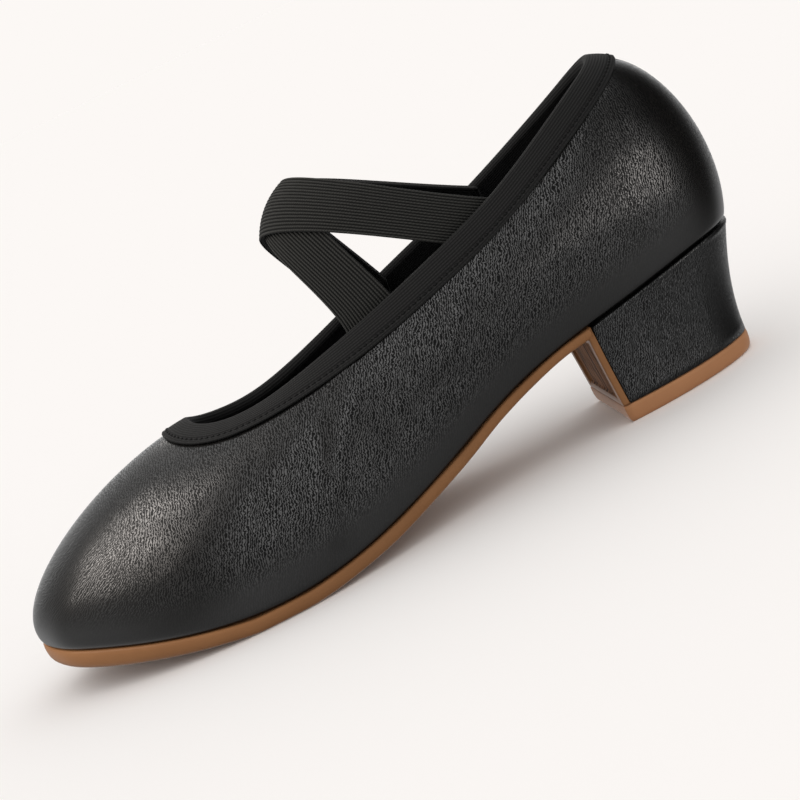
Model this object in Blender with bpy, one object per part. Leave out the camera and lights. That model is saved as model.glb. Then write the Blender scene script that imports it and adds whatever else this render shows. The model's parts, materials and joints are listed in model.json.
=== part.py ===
"""Low-heeled dance practice shoe for the left foot, standing empty on its sole.

Metres. +X points to the toe, +Y to the outer side of the foot and +Z up from the floor.
"""
import bmesh
import bpy
import numpy as np

MM = 0.001

# Driving sizes in millimetres
SHOE_LENGTH = 240.0      # heel back to toe tip
BALL_WIDTH = 80.0        # sole at its widest
COLLAR_HEIGHT = 100.0    # floor to the collar at the heel back
WALL = 1.6               # leather and lining of the upper
GAP = 0.3                # left between neighbouring pieces
BINDING_TAPE = 0.8       # thickness of the elastic tape folded over the collar
BINDING_DEPTH = 7.8      # how far the tape reaches below the leather's edge
BINDING_CROWN = 0.3      # the fold stands this much higher than the tape is thick
INSOLE_THICKNESS = 2.0
INSOLE_INSET = 2.5       # from the outside of the leather to the insole's edge
TOP_PIECE_HEIGHT = 5.4   # rubber under the heel
HEEL_LIP = 0.4           # the heel cover's rolled edge stands this far proud of the leather above
BREAST_FLAP = 2.0        # rubber of the sole turned down the front of the heel
FLAP_LEVELS = (0.0, 0.35, 0.7)  # sections of the flap, as shares of the way up to the seat
STRAP_WIDTH = 16.2
STRAP_THICKNESS = 1.3
STRAP_TUCK = 8.0         # strap end sewn down inside the collar

# The tables are drawn for this base last and graded to the driving sizes
BASE_LENGTH = 240.0
BASE_BALL_WIDTH = 80.0
BASE_COLLAR_HEIGHT = 100.0
GRADE_X = SHOE_LENGTH / BASE_LENGTH
GRADE_Y = BALL_WIDTH / BASE_BALL_WIDTH
GRADE_Z = COLLAR_HEIGHT / BASE_COLLAR_HEIGHT

# Underside of the sole along the foot: height over the floor, and thickness up to the upper.
# Behind the breast the rows give the heel seat.
SOLE_COLUMNS = ("x", "under", "thick")
SOLE_LINE = (
    (-120.0, 36.6, 3.0),
    (-104.0, 35.8, 3.0),
    (-90.0, 33.8, 3.0),
    (-76.0, 31.5, 3.0),
    (-63.0, 29.2, 3.0),
    (-52.0, 27.5, 3.0),
    (-40.0, 24.2, 3.2),
    (-28.0, 20.0, 3.5),
    (-14.0, 13.9, 3.9),
    (0.0, 8.9, 4.2),
    (14.0, 4.7, 4.3),
    (28.0, 1.9, 4.3),
    (44.0, 0.0, 4.3),
    (60.0, 0.0, 4.4),
    (72.0, 1.4, 4.7),
    (86.0, 3.4, 5.2),
    (104.0, 6.6, 5.9),
    (124.0, 11.4, 6.0),
)

# Ribs of the upper from the heel back, along the outer side, to the toe tip. Each rib is one curve
# from the sole edge (foot) to the collar edge (top), steered by a low and a high handle.
# Sideways columns are positive away from the shoe's middle; the inner side has its own where it differs.
RIB_COLUMNS = (
    "foot_x", "foot_outer", "foot_inner",
    "low_x", "low_outer", "low_inner", "low_z",
    "high_x", "high_y", "high_z",
    "top_x", "top_y", "top_z", "inner_drop",
)
RIBS = (
    (-117.0, 0.0, 0.0, -8.5, 0.0, 0.0, 19.0, -21.0, 0.0, -6.6, -99.0, 0.0, 99.4, 0.0),
    (-111.5, 13.8, 13.8, -7.0, 4.0, 4.0, 19.0, -18.0, 5.5, -7.8, -95.5, 11.0, 98.0, 1.5),
    (-99.0, 20.8, 20.6, -4.0, 6.5, 6.5, 19.0, -10.0, 8.5, -12.0, -86.0, 19.0, 94.0, 3.2),
    (-80.0, 24.3, 23.6, -1.0, 8.0, 8.5, 19.0, -3.5, 8.0, -15.0, -71.0, 24.3, 87.0, 3.4),
    (-58.0, 25.3, 22.7, 0.0, 9.0, 10.5, 19.0, -1.0, 7.0, -15.0, -51.0, 27.4, 78.0, 2.6),
    (-34.0, 26.5, 21.0, 0.0, 9.5, 13.0, 18.0, 0.0, 7.0, -14.0, -29.0, 28.2, 70.6, 2.4),
    (-8.0, 29.9, 23.2, 0.0, 9.0, 13.5, 17.0, 1.0, 9.0, -12.0, -7.0, 27.3, 64.0, 2.8),
    (20.0, 36.6, 30.6, 0.0, 7.0, 10.0, 18.0, 3.0, 13.0, -9.0, 14.0, 25.0, 58.3, 3.6),
    (50.0, 40.2, 37.8, 0.0, 5.0, 6.5, 18.0, 9.0, 15.0, -7.0, 31.0, 21.8, 54.6, 3.4),
    (80.0, 35.8, 37.3, 1.0, 4.0, 5.0, 16.0, 16.0, 13.0, -6.2, 42.9, 17.4, 53.9, 2.3),
    (104.0, 23.4, 28.0, 3.0, 3.0, 4.0, 15.5, 24.0, 10.0, -5.0, 49.8, 11.8, 54.8, 1.3),
    (116.0, 12.5, 17.5, 4.5, 2.0, 2.5, 14.8, 30.0, 5.0, -2.9, 53.0, 5.9, 56.0, 0.5),
    (121.0, -3.0, 3.0, 5.5, 0.0, 0.0, 14.8, 32.0, -1.0, -2.2, 53.9, 0.0, 56.6, 0.0),
)

# Edges from the top to the underside, as rows of depth (a share of the thickness) and inset
SOLE_EDGE = ((0.0, 0.5), (0.3, 0.0), (0.72, 0.2), (1.0, 1.6))
FLAP_EDGE = ((0.0, 0.0), (0.3, 0.0), (0.72, 0.0), (1.0, 0.5))
INSOLE_EDGE = ((0.0, 0.6), (0.4, 0.0), (1.0, 0.0))

# Heel: front face of the block at the seat and at the top piece, and the D-shaped foot of the block
BREAST_SEAT_X = -62.5
BREAST_FOOT_X = -64.4
HEEL_BACK_FOOT_X = -109.1
HEEL_FOOT_HALF_WIDTH = 21.0
HEEL_FLARE_POWER = 1.8   # how late the block spreads out on its way up to the seat
TOP_PIECE_CORNER = 3.0
TOP_PIECE_EDGE = ((0.0, 1.6), (0.25, 0.6), (1.0, 0.3))  # height as a share, and inset

# Crossed straps: middle of the crossing, how its band leans back there, and where the ends leave the collar
CREST_X = 2.3
CREST_Z = 99.4
CREST_LEAN = 42.0        # degrees from level
STRAP_MIDDLE_X = -25.0   # on the outer collar, half way between the two straps
STRAP_INNER_SHIFT = 4.5  # on the inner collar they leave this much further back
STRAP_SPREAD = 19.0      # along the collar, from there to the middle of each strap
ARCH_ANGLE = 75.0        # degrees of arc from the crest to the collar
CREST_CUP = 1.6          # the bands bulge forward this much between their edges at the crest
CROSSING_LIFT = 1.8      # the upper strap lies this far above the lower one
CROSSING_REACH = 0.45    # share of the half arch, from the collar, over which it rises to that lift
STRAP_BIAS = 0.94        # cosine of the angle at which a strap runs across its arch

# Fineness of the meshes, and of what is read off the curves
RING_COUNT = 80
LOW_LEVELS = 8
TAPE_LEVELS = 3
SOLE_STATIONS = 42
ACROSS = 4
HEEL_LEVELS = 6
STRAP_ROWS = 30
STRAP_ACROSS = 4
HEEL_POINTS = 31
FOLD_TURNS = np.radians((45.0, 90.0, 135.0))
CORNER_SEGMENTS = 3
SHARP_ANGLE = np.radians(40.0)
MERGE_DISTANCE = 1e-6    # metres
PROBE = 1e-4             # step for reading a direction off a curve
SEARCH_POINTS = 241      # points for finding a place on a curve


def columns(names, rows):
    """Turn a table into one array for each named column."""
    return dict(zip(names, np.array(rows).T))


def closed_spline(keys):
    """Smooth closed curve through equally spaced keys: place 0 is the first key, place 1 is back there."""
    count = len(keys)
    identity = np.eye(count)
    blend = (4.0 * identity + np.roll(identity, 1, axis=0) + np.roll(identity, -1, axis=0)) / 6.0
    control = np.linalg.solve(blend, keys)

    def at(place):
        spot = np.asarray(place) * count
        first = np.floor(spot).astype(int)
        t = (spot - first)[..., None]
        weights = (
            (1.0 - t) ** 3,
            3.0 * t ** 3 - 6.0 * t ** 2 + 4.0,
            1.0 + 3.0 * t + 3.0 * t ** 2 - 3.0 * t ** 3,
            t ** 3,
        )
        return sum(w * control[(first + k - 1) % count] for k, w in enumerate(weights)) / 6.0

    return at


def smooth_line(xs, ys, x):
    """Smooth open curve through the points of a table."""
    slopes = np.gradient(ys, xs)
    i = np.clip(np.searchsorted(xs, x) - 1, 0, len(xs) - 2)
    span = xs[i + 1] - xs[i]
    t = (x - xs[i]) / span
    start = (1.0 + 2.0 * t) * (1.0 - t) ** 2 * ys[i] + t * (1.0 - t) ** 2 * span * slopes[i]
    end = t ** 2 * (3.0 - 2.0 * t) * ys[i + 1] + t ** 2 * (t - 1.0) * span * slopes[i + 1]
    return start + end


def sole_heights(x):
    """Height of the sole's underside and of its top at a place along the foot."""
    sole = columns(SOLE_COLUMNS, SOLE_LINE)
    under = np.maximum(smooth_line(sole["x"] * GRADE_X, sole["under"] * GRADE_Z, x), 0.0)
    return under, under + smooth_line(sole["x"] * GRADE_X, sole["thick"], x)


def rib_keys():
    """The key ribs in order round the shoe: heel back, outer side, toe tip, inner side."""
    rib = columns(RIB_COLUMNS, RIBS)
    last = len(RIBS) - 1
    order = [(row, 1.0) for row in range(last + 1)] + [(row, -1.0) for row in range(last - 1, 0, -1)]
    keys = []
    for row, side in order:
        name = "outer" if side > 0 else "inner"
        drop = rib["inner_drop"][row] if side < 0 else 0.0
        foot_x = rib["foot_x"][row] * GRADE_X
        foot_z = sole_heights(foot_x)[1] + GAP
        foot = np.array((foot_x, side * rib["foot_" + name][row] * GRADE_Y, foot_z))
        low = foot + np.array((rib["low_x"][row], side * rib["low_" + name][row], rib["low_z"][row]))
        top = np.array((
            rib["top_x"][row] * GRADE_X,
            side * rib["top_y"][row] * GRADE_Y,
            (rib["top_z"][row] - drop) * GRADE_Z,
        ))
        high = top + np.array((rib["high_x"][row], side * rib["high_y"][row], rib["high_z"][row]))
        keys.append(np.concatenate((foot, low, high, top)))
    return np.array(keys)


KEY_RIBS = rib_keys()
RIB_AT = closed_spline(KEY_RIBS)


def wall(place, level):
    """Outside of the upper: place runs round the shoe, level from the sole edge (0) to the collar (1)."""
    foot, low, high, top = np.split(RIB_AT(place), 4, axis=-1)
    t = np.asarray(level)[..., None]
    return (1 - t) ** 3 * foot + 3 * (1 - t) ** 2 * t * low + 3 * (1 - t) * t ** 2 * high + t ** 3 * top


def unit(vectors):
    """Vectors scaled to length 1."""
    return vectors / np.linalg.norm(vectors, axis=-1, keepdims=True)


def wall_normal(place, level):
    """Direction out of the upper."""
    along = wall(place + PROBE, level) - wall(place - PROBE, level)
    up = wall(place, level + PROBE) - wall(place, level - PROBE)
    return unit(np.cross(up, along))


def wall_offset(place, level, out):
    """Surface at a distance outside the upper, or inside it where that is negative."""
    return wall(place, level) + out * wall_normal(place, level)


def collar_rise(place):
    """Direction in which the wall runs on past the collar edge."""
    return unit(wall(place, np.ones_like(place)) - wall(place, np.full_like(place, 1.0 - PROBE)))


def level_below_collar(place, depth):
    """Level of the wall at a depth below the collar, measured along the leather."""
    levels = np.linspace(1.0, 0.0, SEARCH_POINTS)
    found = []
    for spot in np.atleast_1d(place):
        points = wall(np.full_like(levels, spot), levels)
        lengths = np.concatenate(([0.0], np.cumsum(np.linalg.norm(np.diff(points, axis=0), axis=1))))
        found.append(np.interp(depth, lengths, levels))
    return np.array(found)


def foot_outline(place, out):
    """Sole edge of the upper in plan, moved outwards, with the direction that points out of it."""
    level = np.zeros_like(place)
    foot = wall(place, level)
    along = wall(place + PROBE, level) - wall(place - PROBE, level)
    outward = unit(np.stack((-along[..., 1], along[..., 0], level), axis=-1))
    return foot + out * outward, outward


def loft(bm, sections, closed):
    """Skin a row of closed sections with quads; a closed loft joins the last section to the first."""
    rows = [[bm.verts.new(point * MM) for point in section] for section in sections]
    pairs = list(zip(rows, rows[1:]))
    if closed:
        pairs.append((rows[-1], rows[0]))
    for near, far in pairs:
        for i in range(len(near)):
            j = (i + 1) % len(near)
            bm.faces.new((near[i], near[j], far[j], far[i]))
    return rows


def cap_strips(bm, loop):
    """Close a loop whose two halves mirror each other with strips from half to half."""
    last = len(loop) - 1
    for i in range(last // 2):
        strip = [loop[i], loop[i + 1], loop[last - i - 1], loop[last - i]]
        bm.faces.new(list(dict.fromkeys(strip)))


def finish_colour(hex_colour):
    """Linear colour of an sRGB hex value."""
    parts = np.array([int(hex_colour[i:i + 2], 16) for i in (0, 2, 4)]) / 255.0
    linear = np.where(parts <= 0.04045, parts / 12.92, ((parts + 0.055) / 1.055) ** 2.4)
    return (*linear, 1.0)


def material(name, hex_colour, roughness):
    """Plain finish of one piece."""
    made = bpy.data.materials.new(name)
    made.use_nodes = True
    shader = made.node_tree.nodes["Principled BSDF"]
    shader.inputs["Base Color"].default_value = finish_colour(hex_colour)
    shader.inputs["Roughness"].default_value = roughness
    shader.inputs["Metallic"].default_value = 0.0
    return made


def make_piece(name, bm, finish, shoe):
    """Turn a bmesh into a named piece of the shoe."""
    bmesh.ops.remove_doubles(bm, verts=bm.verts, dist=MERGE_DISTANCE)
    bmesh.ops.dissolve_degenerate(bm, edges=bm.edges, dist=MERGE_DISTANCE)
    bmesh.ops.recalc_face_normals(bm, faces=bm.faces)
    mesh = bpy.data.meshes.new(name)
    bm.to_mesh(mesh)
    bm.free()
    mesh.materials.append(finish)
    mesh.shade_smooth()
    mesh.set_sharp_from_angle(angle=SHARP_ANGLE)
    piece = bpy.data.objects.new(name, mesh)
    piece.parent = shoe
    bpy.context.collection.objects.link(piece)
    return piece


def ring_places():
    """Places of the upper's sections, once round the shoe."""
    return np.arange(RING_COUNT) / RING_COUNT


def tape_levels(places):
    """Levels of the wall that the binding covers, from its lower edge to the collar."""
    start = level_below_collar(places, BINDING_DEPTH)[:, None]
    return start + (1.0 - start) * np.linspace(0.0, 1.0, TAPE_LEVELS)


def upper_mesh():
    """Leather wall open at the collar and underneath, with its inside at the wall's thickness."""
    places = ring_places()
    tape = tape_levels(places)
    below = tape[:, :1] * np.linspace(0.0, 1.0, LOW_LEVELS)
    levels = np.concatenate((below, tape[:, 1:]), axis=1)
    spots = np.repeat(places[:, None], levels.shape[1], axis=1)
    outside = wall(spots, levels)
    inside = wall_offset(spots, levels, -WALL)
    seat = sole_heights(inside[:, 0, 0])[1] + GAP
    inside[:, 0, 2] = np.maximum(inside[:, 0, 2], seat)
    bm = bmesh.new()
    loft(bm, np.concatenate((outside, inside[:, ::-1]), axis=1), closed=True)
    return bm


def binding_mesh():
    """Elastic tape folded over the collar edge, cut from the wall's own form."""
    places = ring_places()
    levels = tape_levels(places)
    spots = np.repeat(places[:, None], TAPE_LEVELS, axis=1)
    skin = GAP + BINDING_TAPE
    outer_face = wall_offset(spots, levels, skin)
    outer_back = wall_offset(spots, levels, GAP)
    inner_face = wall_offset(spots, levels, -WALL - skin)
    inner_back = wall_offset(spots, levels, -WALL - GAP)
    rise = collar_rise(places)
    normal = wall_normal(places, np.ones_like(places))
    middle = wall(places, np.ones_like(places)) - 0.5 * WALL * normal
    half = 0.5 * WALL + skin
    fold = [
        middle + half * np.cos(turn) * normal + (skin + BINDING_CROWN) * np.sin(turn) * rise
        for turn in FOLD_TURNS
    ]
    seat_inner = inner_back[:, -1] + GAP * rise
    seat_outer = outer_back[:, -1] + GAP * rise
    sections = np.concatenate((
        outer_face, np.stack(fold, axis=1), inner_face[:, ::-1],
        inner_back, seat_inner[:, None], seat_outer[:, None], outer_back[:, ::-1],
    ), axis=1)
    bm = bmesh.new()
    loft(bm, sections, closed=True)
    return bm


def plate_section(left, right, left_out, right_out, through, edge):
    """Section of a sole: left edge down, underside across, right edge up, top across."""
    def side(point, outward):
        return [point + depth * through - inset * outward for depth, inset in edge]

    left_side = side(left, left_out)
    right_side = side(right, right_out)
    shares = np.linspace(0.0, 1.0, ACROSS + 2)[1:-1]
    under = [left_side[-1] + share * (right_side[-1] - left_side[-1]) for share in shares]
    top = [right_side[0] + share * (left_side[0] - right_side[0]) for share in shares]
    return np.array(left_side + under + right_side[::-1] + top)


def key_places(keys):
    """Places on the outer and on the inner side for key numbers counted from the heel back."""
    outer = np.asarray(keys) / len(KEY_RIBS)
    return outer, 1.0 - outer


def breast_key():
    """Key number at which the sole edge reaches the heel's front face."""
    keys = np.linspace(0.0, len(RIBS) - 1, SEARCH_POINTS)
    feet = wall(key_places(keys)[0], np.zeros_like(keys))[:, 0]
    return np.interp(BREAST_SEAT_X, feet, keys)


def heel_spread(height):
    """Share of the way from the heel's foot outline to its seat outline at a height over the floor."""
    seat = sole_heights(np.array(BREAST_SEAT_X))[1]
    share = (height - TOP_PIECE_HEIGHT) / (seat - TOP_PIECE_HEIGHT)
    return np.clip(share, 0.0, 1.0) ** HEEL_FLARE_POWER


def outsole_mesh():
    """Rubber sole from the toe through the waist, turned down the heel's front face as a flap."""
    bm = bmesh.new()
    sections = []
    sideways = np.array((0.0, 1.0, 0.0))
    flap_through = np.array((BREAST_FLAP, 0.0, 0.0))
    flap_low = TOP_PIECE_HEIGHT + GAP
    flap_high = sole_heights(np.array(BREAST_SEAT_X))[1]
    start = breast_key()
    seat_half_widths = [abs(foot_outline(np.array(place), HEEL_LIP)[0][1]) for place in key_places(start)]
    for share in FLAP_LEVELS:
        height = flap_low + share * (flap_high - flap_low)
        front = BREAST_FOOT_X + share * (BREAST_SEAT_X - BREAST_FOOT_X) + GAP
        spread = heel_spread(height)
        left_half, right_half = (
            HEEL_FOOT_HALF_WIDTH + spread * (seat_half - HEEL_FOOT_HALF_WIDTH)
            for seat_half in seat_half_widths
        )
        left = np.array((front, left_half, height))
        right = np.array((front, -right_half, height))
        sections.append(plate_section(left, right, sideways, -sideways, flap_through, FLAP_EDGE))
    for number, key in enumerate(np.linspace(start, len(RIBS) - 1, SOLE_STATIONS)):
        outer, inner = (np.array(place) for place in key_places(key))
        left, left_out = foot_outline(outer, HEEL_LIP)
        right, right_out = foot_outline(inner, HEEL_LIP)
        if number == 0:
            left[0] = right[0] = BREAST_SEAT_X + GAP
        left[2], right[2] = (sole_heights(point[0])[1] for point in (left, right))
        thick = left[2] - sole_heights(left[0])[0]
        through = np.array((0.0, 0.0, -thick))
        if number == 0:
            through += flap_through
        sections.append(plate_section(left, right, left_out, right_out, through, SOLE_EDGE))
    rows = loft(bm, sections, closed=False)
    bm.faces.new(rows[0])
    return bm


def insole_mesh():
    """Thin sock board lying on the sole and the heel seat inside the upper."""
    bm = bmesh.new()
    sections = []
    through = np.array((0.0, 0.0, -INSOLE_THICKNESS))
    for key in np.linspace(0.0, len(RIBS) - 1, SOLE_STATIONS):
        outer, inner = (np.array(place) for place in key_places(key))
        left, left_out = foot_outline(outer, -INSOLE_INSET)
        right, right_out = foot_outline(inner, -INSOLE_INSET)
        for point in (left, right):
            point[2] = sole_heights(point[0])[1] + GAP + INSOLE_THICKNESS
        sections.append(plate_section(left, right, left_out, right_out, through, INSOLE_EDGE))
    loft(bm, sections, closed=False)
    return bm


def heel_outlines():
    """Seat outline and foot outline of the heel block, from the outer front corner round the back."""
    start = breast_key()
    places = np.linspace(start, -start, HEEL_POINTS) / len(KEY_RIBS)
    seat = foot_outline(places, HEEL_LIP)[0]
    seat[0, 0] = seat[-1, 0] = BREAST_SEAT_X
    seat[:, 2] = sole_heights(seat[:, 0])[1] - GAP
    back = seat[:, 0].min()
    along = (seat[:, 0] - BREAST_SEAT_X) / (back - BREAST_SEAT_X)
    foot = np.stack((
        BREAST_FOOT_X + along * (HEEL_BACK_FOOT_X - BREAST_FOOT_X),
        np.sign(seat[:, 1]) * HEEL_FOOT_HALF_WIDTH * np.sqrt(1.0 - along ** 2),
        np.full(len(seat), TOP_PIECE_HEIGHT + GAP),
    ), axis=1)
    return seat, foot


def heel_block_mesh():
    """Leather-covered block that flares from its foot to the seat."""
    seat, foot = heel_outlines()
    bm = bmesh.new()
    sections = []
    for share in np.linspace(0.0, 1.0, HEEL_LEVELS):
        section = foot + (seat - foot) * share ** HEEL_FLARE_POWER
        section[:, 2] = foot[:, 2] + (seat[:, 2] - foot[:, 2]) * share
        front = BREAST_FOOT_X + share * (BREAST_SEAT_X - BREAST_FOOT_X)
        section[0, 0] = section[-1, 0] = front
        sections.append(section)
    rows = loft(bm, sections, closed=False)
    cap_strips(bm, rows[0])
    cap_strips(bm, rows[-1])
    return bm


def top_piece_mesh():
    """Rubber top piece on which the heel stands, reaching under the flap at its front."""
    foot = heel_outlines()[1]
    front = BREAST_FOOT_X + GAP + BREAST_FLAP
    foot[0, 0] = foot[-1, 0] = front
    centre = np.array((foot[:, 0].mean(), 0.0, 0.0))
    bm = bmesh.new()
    sections = []
    for share, inset in TOP_PIECE_EDGE:
        arms = foot - centre
        arms[:, 2] = 0.0
        section = centre + arms + (HEEL_LIP - inset) * unit(arms)
        section[:, 2] = share * TOP_PIECE_HEIGHT
        sections.append(section)
    rows = loft(bm, sections, closed=False)
    cap_strips(bm, rows[0])
    cap_strips(bm, rows[-1])
    corners = [
        edge for edge in bm.edges
        if all(vert in (row[0] for row in rows) for vert in edge.verts)
        or all(vert in (row[-1] for row in rows) for vert in edge.verts)
    ]
    bmesh.ops.bevel(
        bm, geom=corners, offset=TOP_PIECE_CORNER * MM, segments=CORNER_SEGMENTS, profile=0.5, affect="EDGES",
    )
    return bm


def collar_place(x, side):
    """Place on one side of the collar, given along the foot."""
    places = np.linspace(0.0, 0.5, SEARCH_POINTS)
    tops = wall(places, np.ones_like(places))[:, 0]
    found = np.interp(x, tops, places)
    return np.where(side > 0, found, 1.0 - found)


STRAP_DEPTH = WALL + 2.0 * GAP + BINDING_TAPE + 0.5 * STRAP_THICKNESS


def strap_collar_x(slide, side):
    """Where along the foot a slide along the collar ends up on the outer or inner side."""
    middle = np.where(side > 0, STRAP_MIDDLE_X, STRAP_MIDDLE_X - STRAP_INNER_SHIFT)
    return middle * GRADE_X - slide


def strap_rim(slide, side):
    """Where a strap passes the fold of the binding, on its inside; slide runs back along the collar."""
    place = collar_place(strap_collar_x(slide, side), side)
    ones = np.ones_like(place)
    return wall_offset(place, ones, -STRAP_DEPTH) + (GAP + BINDING_TAPE) * collar_rise(place)


def strap_sheet(turn, slide):
    """Arched sheet that both straps lie on: turn runs from the inner collar (-1) to the outer one (1)."""
    side = np.where(turn < 0, -1.0, 1.0)
    rim = strap_rim(slide, side)
    lean = np.radians(CREST_LEAN)
    cup = CREST_CUP * (1.0 - (slide / (0.5 * STRAP_WIDTH)) ** 2)
    crest_x = CREST_X * GRADE_X - slide * np.cos(lean) + cup * np.sin(lean)
    crest_z = CREST_Z * GRADE_Z + slide * np.sin(lean) + cup * np.cos(lean)
    angle = np.abs(turn) * np.radians(ARCH_ANGLE)
    sink = (1.0 - np.cos(angle)) / (1.0 - np.cos(np.radians(ARCH_ANGLE)))
    spread = np.sin(angle) / np.sin(np.radians(ARCH_ANGLE))
    return np.stack((
        crest_x + sink * (rim[..., 0] - crest_x),
        spread * rim[..., 1],
        crest_z + sink * (rim[..., 2] - crest_z),
    ), axis=-1)


def strap_normal(turn, slide):
    """Direction out of the arched sheet."""
    round_arch = strap_sheet(turn + PROBE, slide) - strap_sheet(turn - PROBE, slide)
    back = strap_sheet(turn, slide + PROBE) - strap_sheet(turn, slide - PROBE)
    return unit(np.cross(round_arch, back))


def arch_shares(turns):
    """Signed share of the way along the arch for each turn, measured along its length."""
    fine = np.linspace(0.0, 1.0, SEARCH_POINTS)
    points = strap_sheet(fine, np.zeros_like(fine))
    lengths = np.concatenate(([0.0], np.cumsum(np.linalg.norm(np.diff(points, axis=0), axis=1))))
    return np.sign(turns) * np.interp(np.abs(turns), fine, lengths / lengths[-1])


def strap_mesh(direction, lift):
    """Elastic band over the instep; direction +1 leaves the outer collar at the rear, -1 at the front."""
    turns = np.linspace(-1.0, 1.0, STRAP_ROWS)
    shares = arch_shares(turns)
    reach = 0.5 * STRAP_WIDTH / STRAP_BIAS
    widths = np.linspace(-reach, reach, STRAP_ACROSS)
    middle = direction * STRAP_SPREAD * shares
    slide = middle[:, None] + widths
    turn = np.repeat(turns[:, None], STRAP_ACROSS, axis=1)
    raised = lift * np.clip((1.0 - np.abs(turn)) / CROSSING_REACH, 0.0, 1.0)[..., None]
    sheet = strap_sheet(turn, slide)
    normal = strap_normal(turn, slide)
    rows = list(zip(sheet + raised * normal, normal))

    def tucked(side):
        end_slide = side * direction * STRAP_SPREAD + widths
        place = collar_place(strap_collar_x(end_slide, side), side)
        ends = []
        for depth in (0.0, 0.5 * STRAP_TUCK, STRAP_TUCK):
            level = level_below_collar(place, depth)
            ends.append((wall_offset(place, level, -STRAP_DEPTH), wall_normal(place, level)))
        return ends

    rows = tucked(-1.0)[::-1] + rows + tucked(1.0)
    half = 0.5 * STRAP_THICKNESS
    sections = [
        np.concatenate((points + half * normals, (points - half * normals)[::-1]))
        for points, normals in rows
    ]
    bm = bmesh.new()
    ends = loft(bm, sections, closed=False)
    cap_strips(bm, ends[0])
    cap_strips(bm, ends[-1])
    return bm


def centre_on_origin(shoe):
    """Stand the shoe's box on the origin, with the middle of its footprint at it."""
    points = np.array([v.co for piece in shoe.children for v in piece.data.vertices])
    middle = 0.5 * (points.min(axis=0) + points.max(axis=0))
    shoe.location = (-middle[0], -middle[1], 0.0)


for leftover in list(bpy.data.objects):
    bpy.data.objects.remove(leftover)

shoe = bpy.data.objects.new("shoe", None)
bpy.context.collection.objects.link(shoe)
leather = material("black sheep leather", "3a3938", 0.45)
tape = material("black elastic tape", "252525", 0.8)
webbing = material("black ribbed elastic", "2a2a28", 0.75)
heel_leather = material("black heel leather", "302f2e", 0.45)
rubber = material("brown crepe rubber", "7a553b", 0.5)
top_rubber = material("brown heel rubber", "886348", 0.5)
sock = material("black sock lining", "1e1e1e", 0.85)

make_piece("outsole", outsole_mesh(), rubber, shoe)
make_piece("heel_block", heel_block_mesh(), heel_leather, shoe)
make_piece("heel_top_piece", top_piece_mesh(), top_rubber, shoe)
make_piece("insole", insole_mesh(), sock, shoe)
make_piece("upper", upper_mesh(), leather, shoe)
make_piece("collar_binding", binding_mesh(), tape, shoe)
make_piece("strap_under", strap_mesh(-1.0, 0.0), webbing, shoe)
make_piece("strap_over", strap_mesh(1.0, CROSSING_LIFT), webbing, shoe)
centre_on_origin(shoe)
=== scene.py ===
"""Low-heeled dance practice shoe for the left foot, finished piece by piece as it is put together."""
import json

import bmesh
import bpy
import numpy as np
from mathutils import Matrix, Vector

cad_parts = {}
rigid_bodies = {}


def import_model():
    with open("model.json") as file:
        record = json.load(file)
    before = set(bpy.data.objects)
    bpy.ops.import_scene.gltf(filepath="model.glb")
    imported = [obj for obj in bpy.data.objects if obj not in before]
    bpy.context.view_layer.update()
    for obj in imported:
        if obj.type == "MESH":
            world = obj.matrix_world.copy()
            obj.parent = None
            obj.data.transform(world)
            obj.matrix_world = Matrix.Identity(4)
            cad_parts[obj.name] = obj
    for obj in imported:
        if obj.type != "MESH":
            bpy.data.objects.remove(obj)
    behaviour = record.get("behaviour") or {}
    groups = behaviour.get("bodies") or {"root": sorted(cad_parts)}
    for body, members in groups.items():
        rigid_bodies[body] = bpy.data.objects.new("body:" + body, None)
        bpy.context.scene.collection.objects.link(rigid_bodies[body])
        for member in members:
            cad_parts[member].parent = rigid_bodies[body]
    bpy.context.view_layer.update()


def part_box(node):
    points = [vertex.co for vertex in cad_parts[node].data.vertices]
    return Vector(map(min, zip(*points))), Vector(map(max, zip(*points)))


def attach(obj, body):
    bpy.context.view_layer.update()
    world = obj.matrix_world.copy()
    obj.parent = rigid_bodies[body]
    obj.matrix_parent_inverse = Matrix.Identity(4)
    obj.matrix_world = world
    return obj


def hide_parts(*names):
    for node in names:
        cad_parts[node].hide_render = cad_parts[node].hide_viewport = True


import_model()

# Upper
# Black sheep leather over a cloth lining, closed by one seam down the heel back and pulled over the last.
# Its lower edge is drawn in and cemented to the sole, and its top edge is cut for the binding.
MM = 0.001
WALL = 1.6               # millimetres of leather and lining
GAP = 0.3                # millimetres between neighbouring pieces
UPPER_COLUMNS = 480
UPPER_ROWS = 64
SEAM_FINENESS = 0.8      # crowds the columns towards the seam at the heel back
PROBE = 1e-4             # step for reading a direction off a curve
SEARCH_POINTS = 241      # points for finding a place on a curve
WELD = 1e-6              # metres

# Underside of the sole along the foot: height over the floor and thickness, in millimetres
SOLE_COLUMNS = ("x", "under", "thick")
SOLE_LINE = (
    (-120.0, 36.6, 3.0),
    (-104.0, 35.8, 3.0),
    (-90.0, 33.8, 3.0),
    (-76.0, 31.5, 3.0),
    (-63.0, 29.2, 3.0),
    (-52.0, 27.5, 3.0),
    (-40.0, 24.2, 3.2),
    (-28.0, 20.0, 3.5),
    (-14.0, 13.9, 3.9),
    (0.0, 8.9, 4.2),
    (14.0, 4.7, 4.3),
    (28.0, 1.9, 4.3),
    (44.0, 0.0, 4.3),
    (60.0, 0.0, 4.4),
    (72.0, 1.4, 4.7),
    (86.0, 3.4, 5.2),
    (104.0, 6.6, 5.9),
    (124.0, 11.4, 6.0),
)

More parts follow.
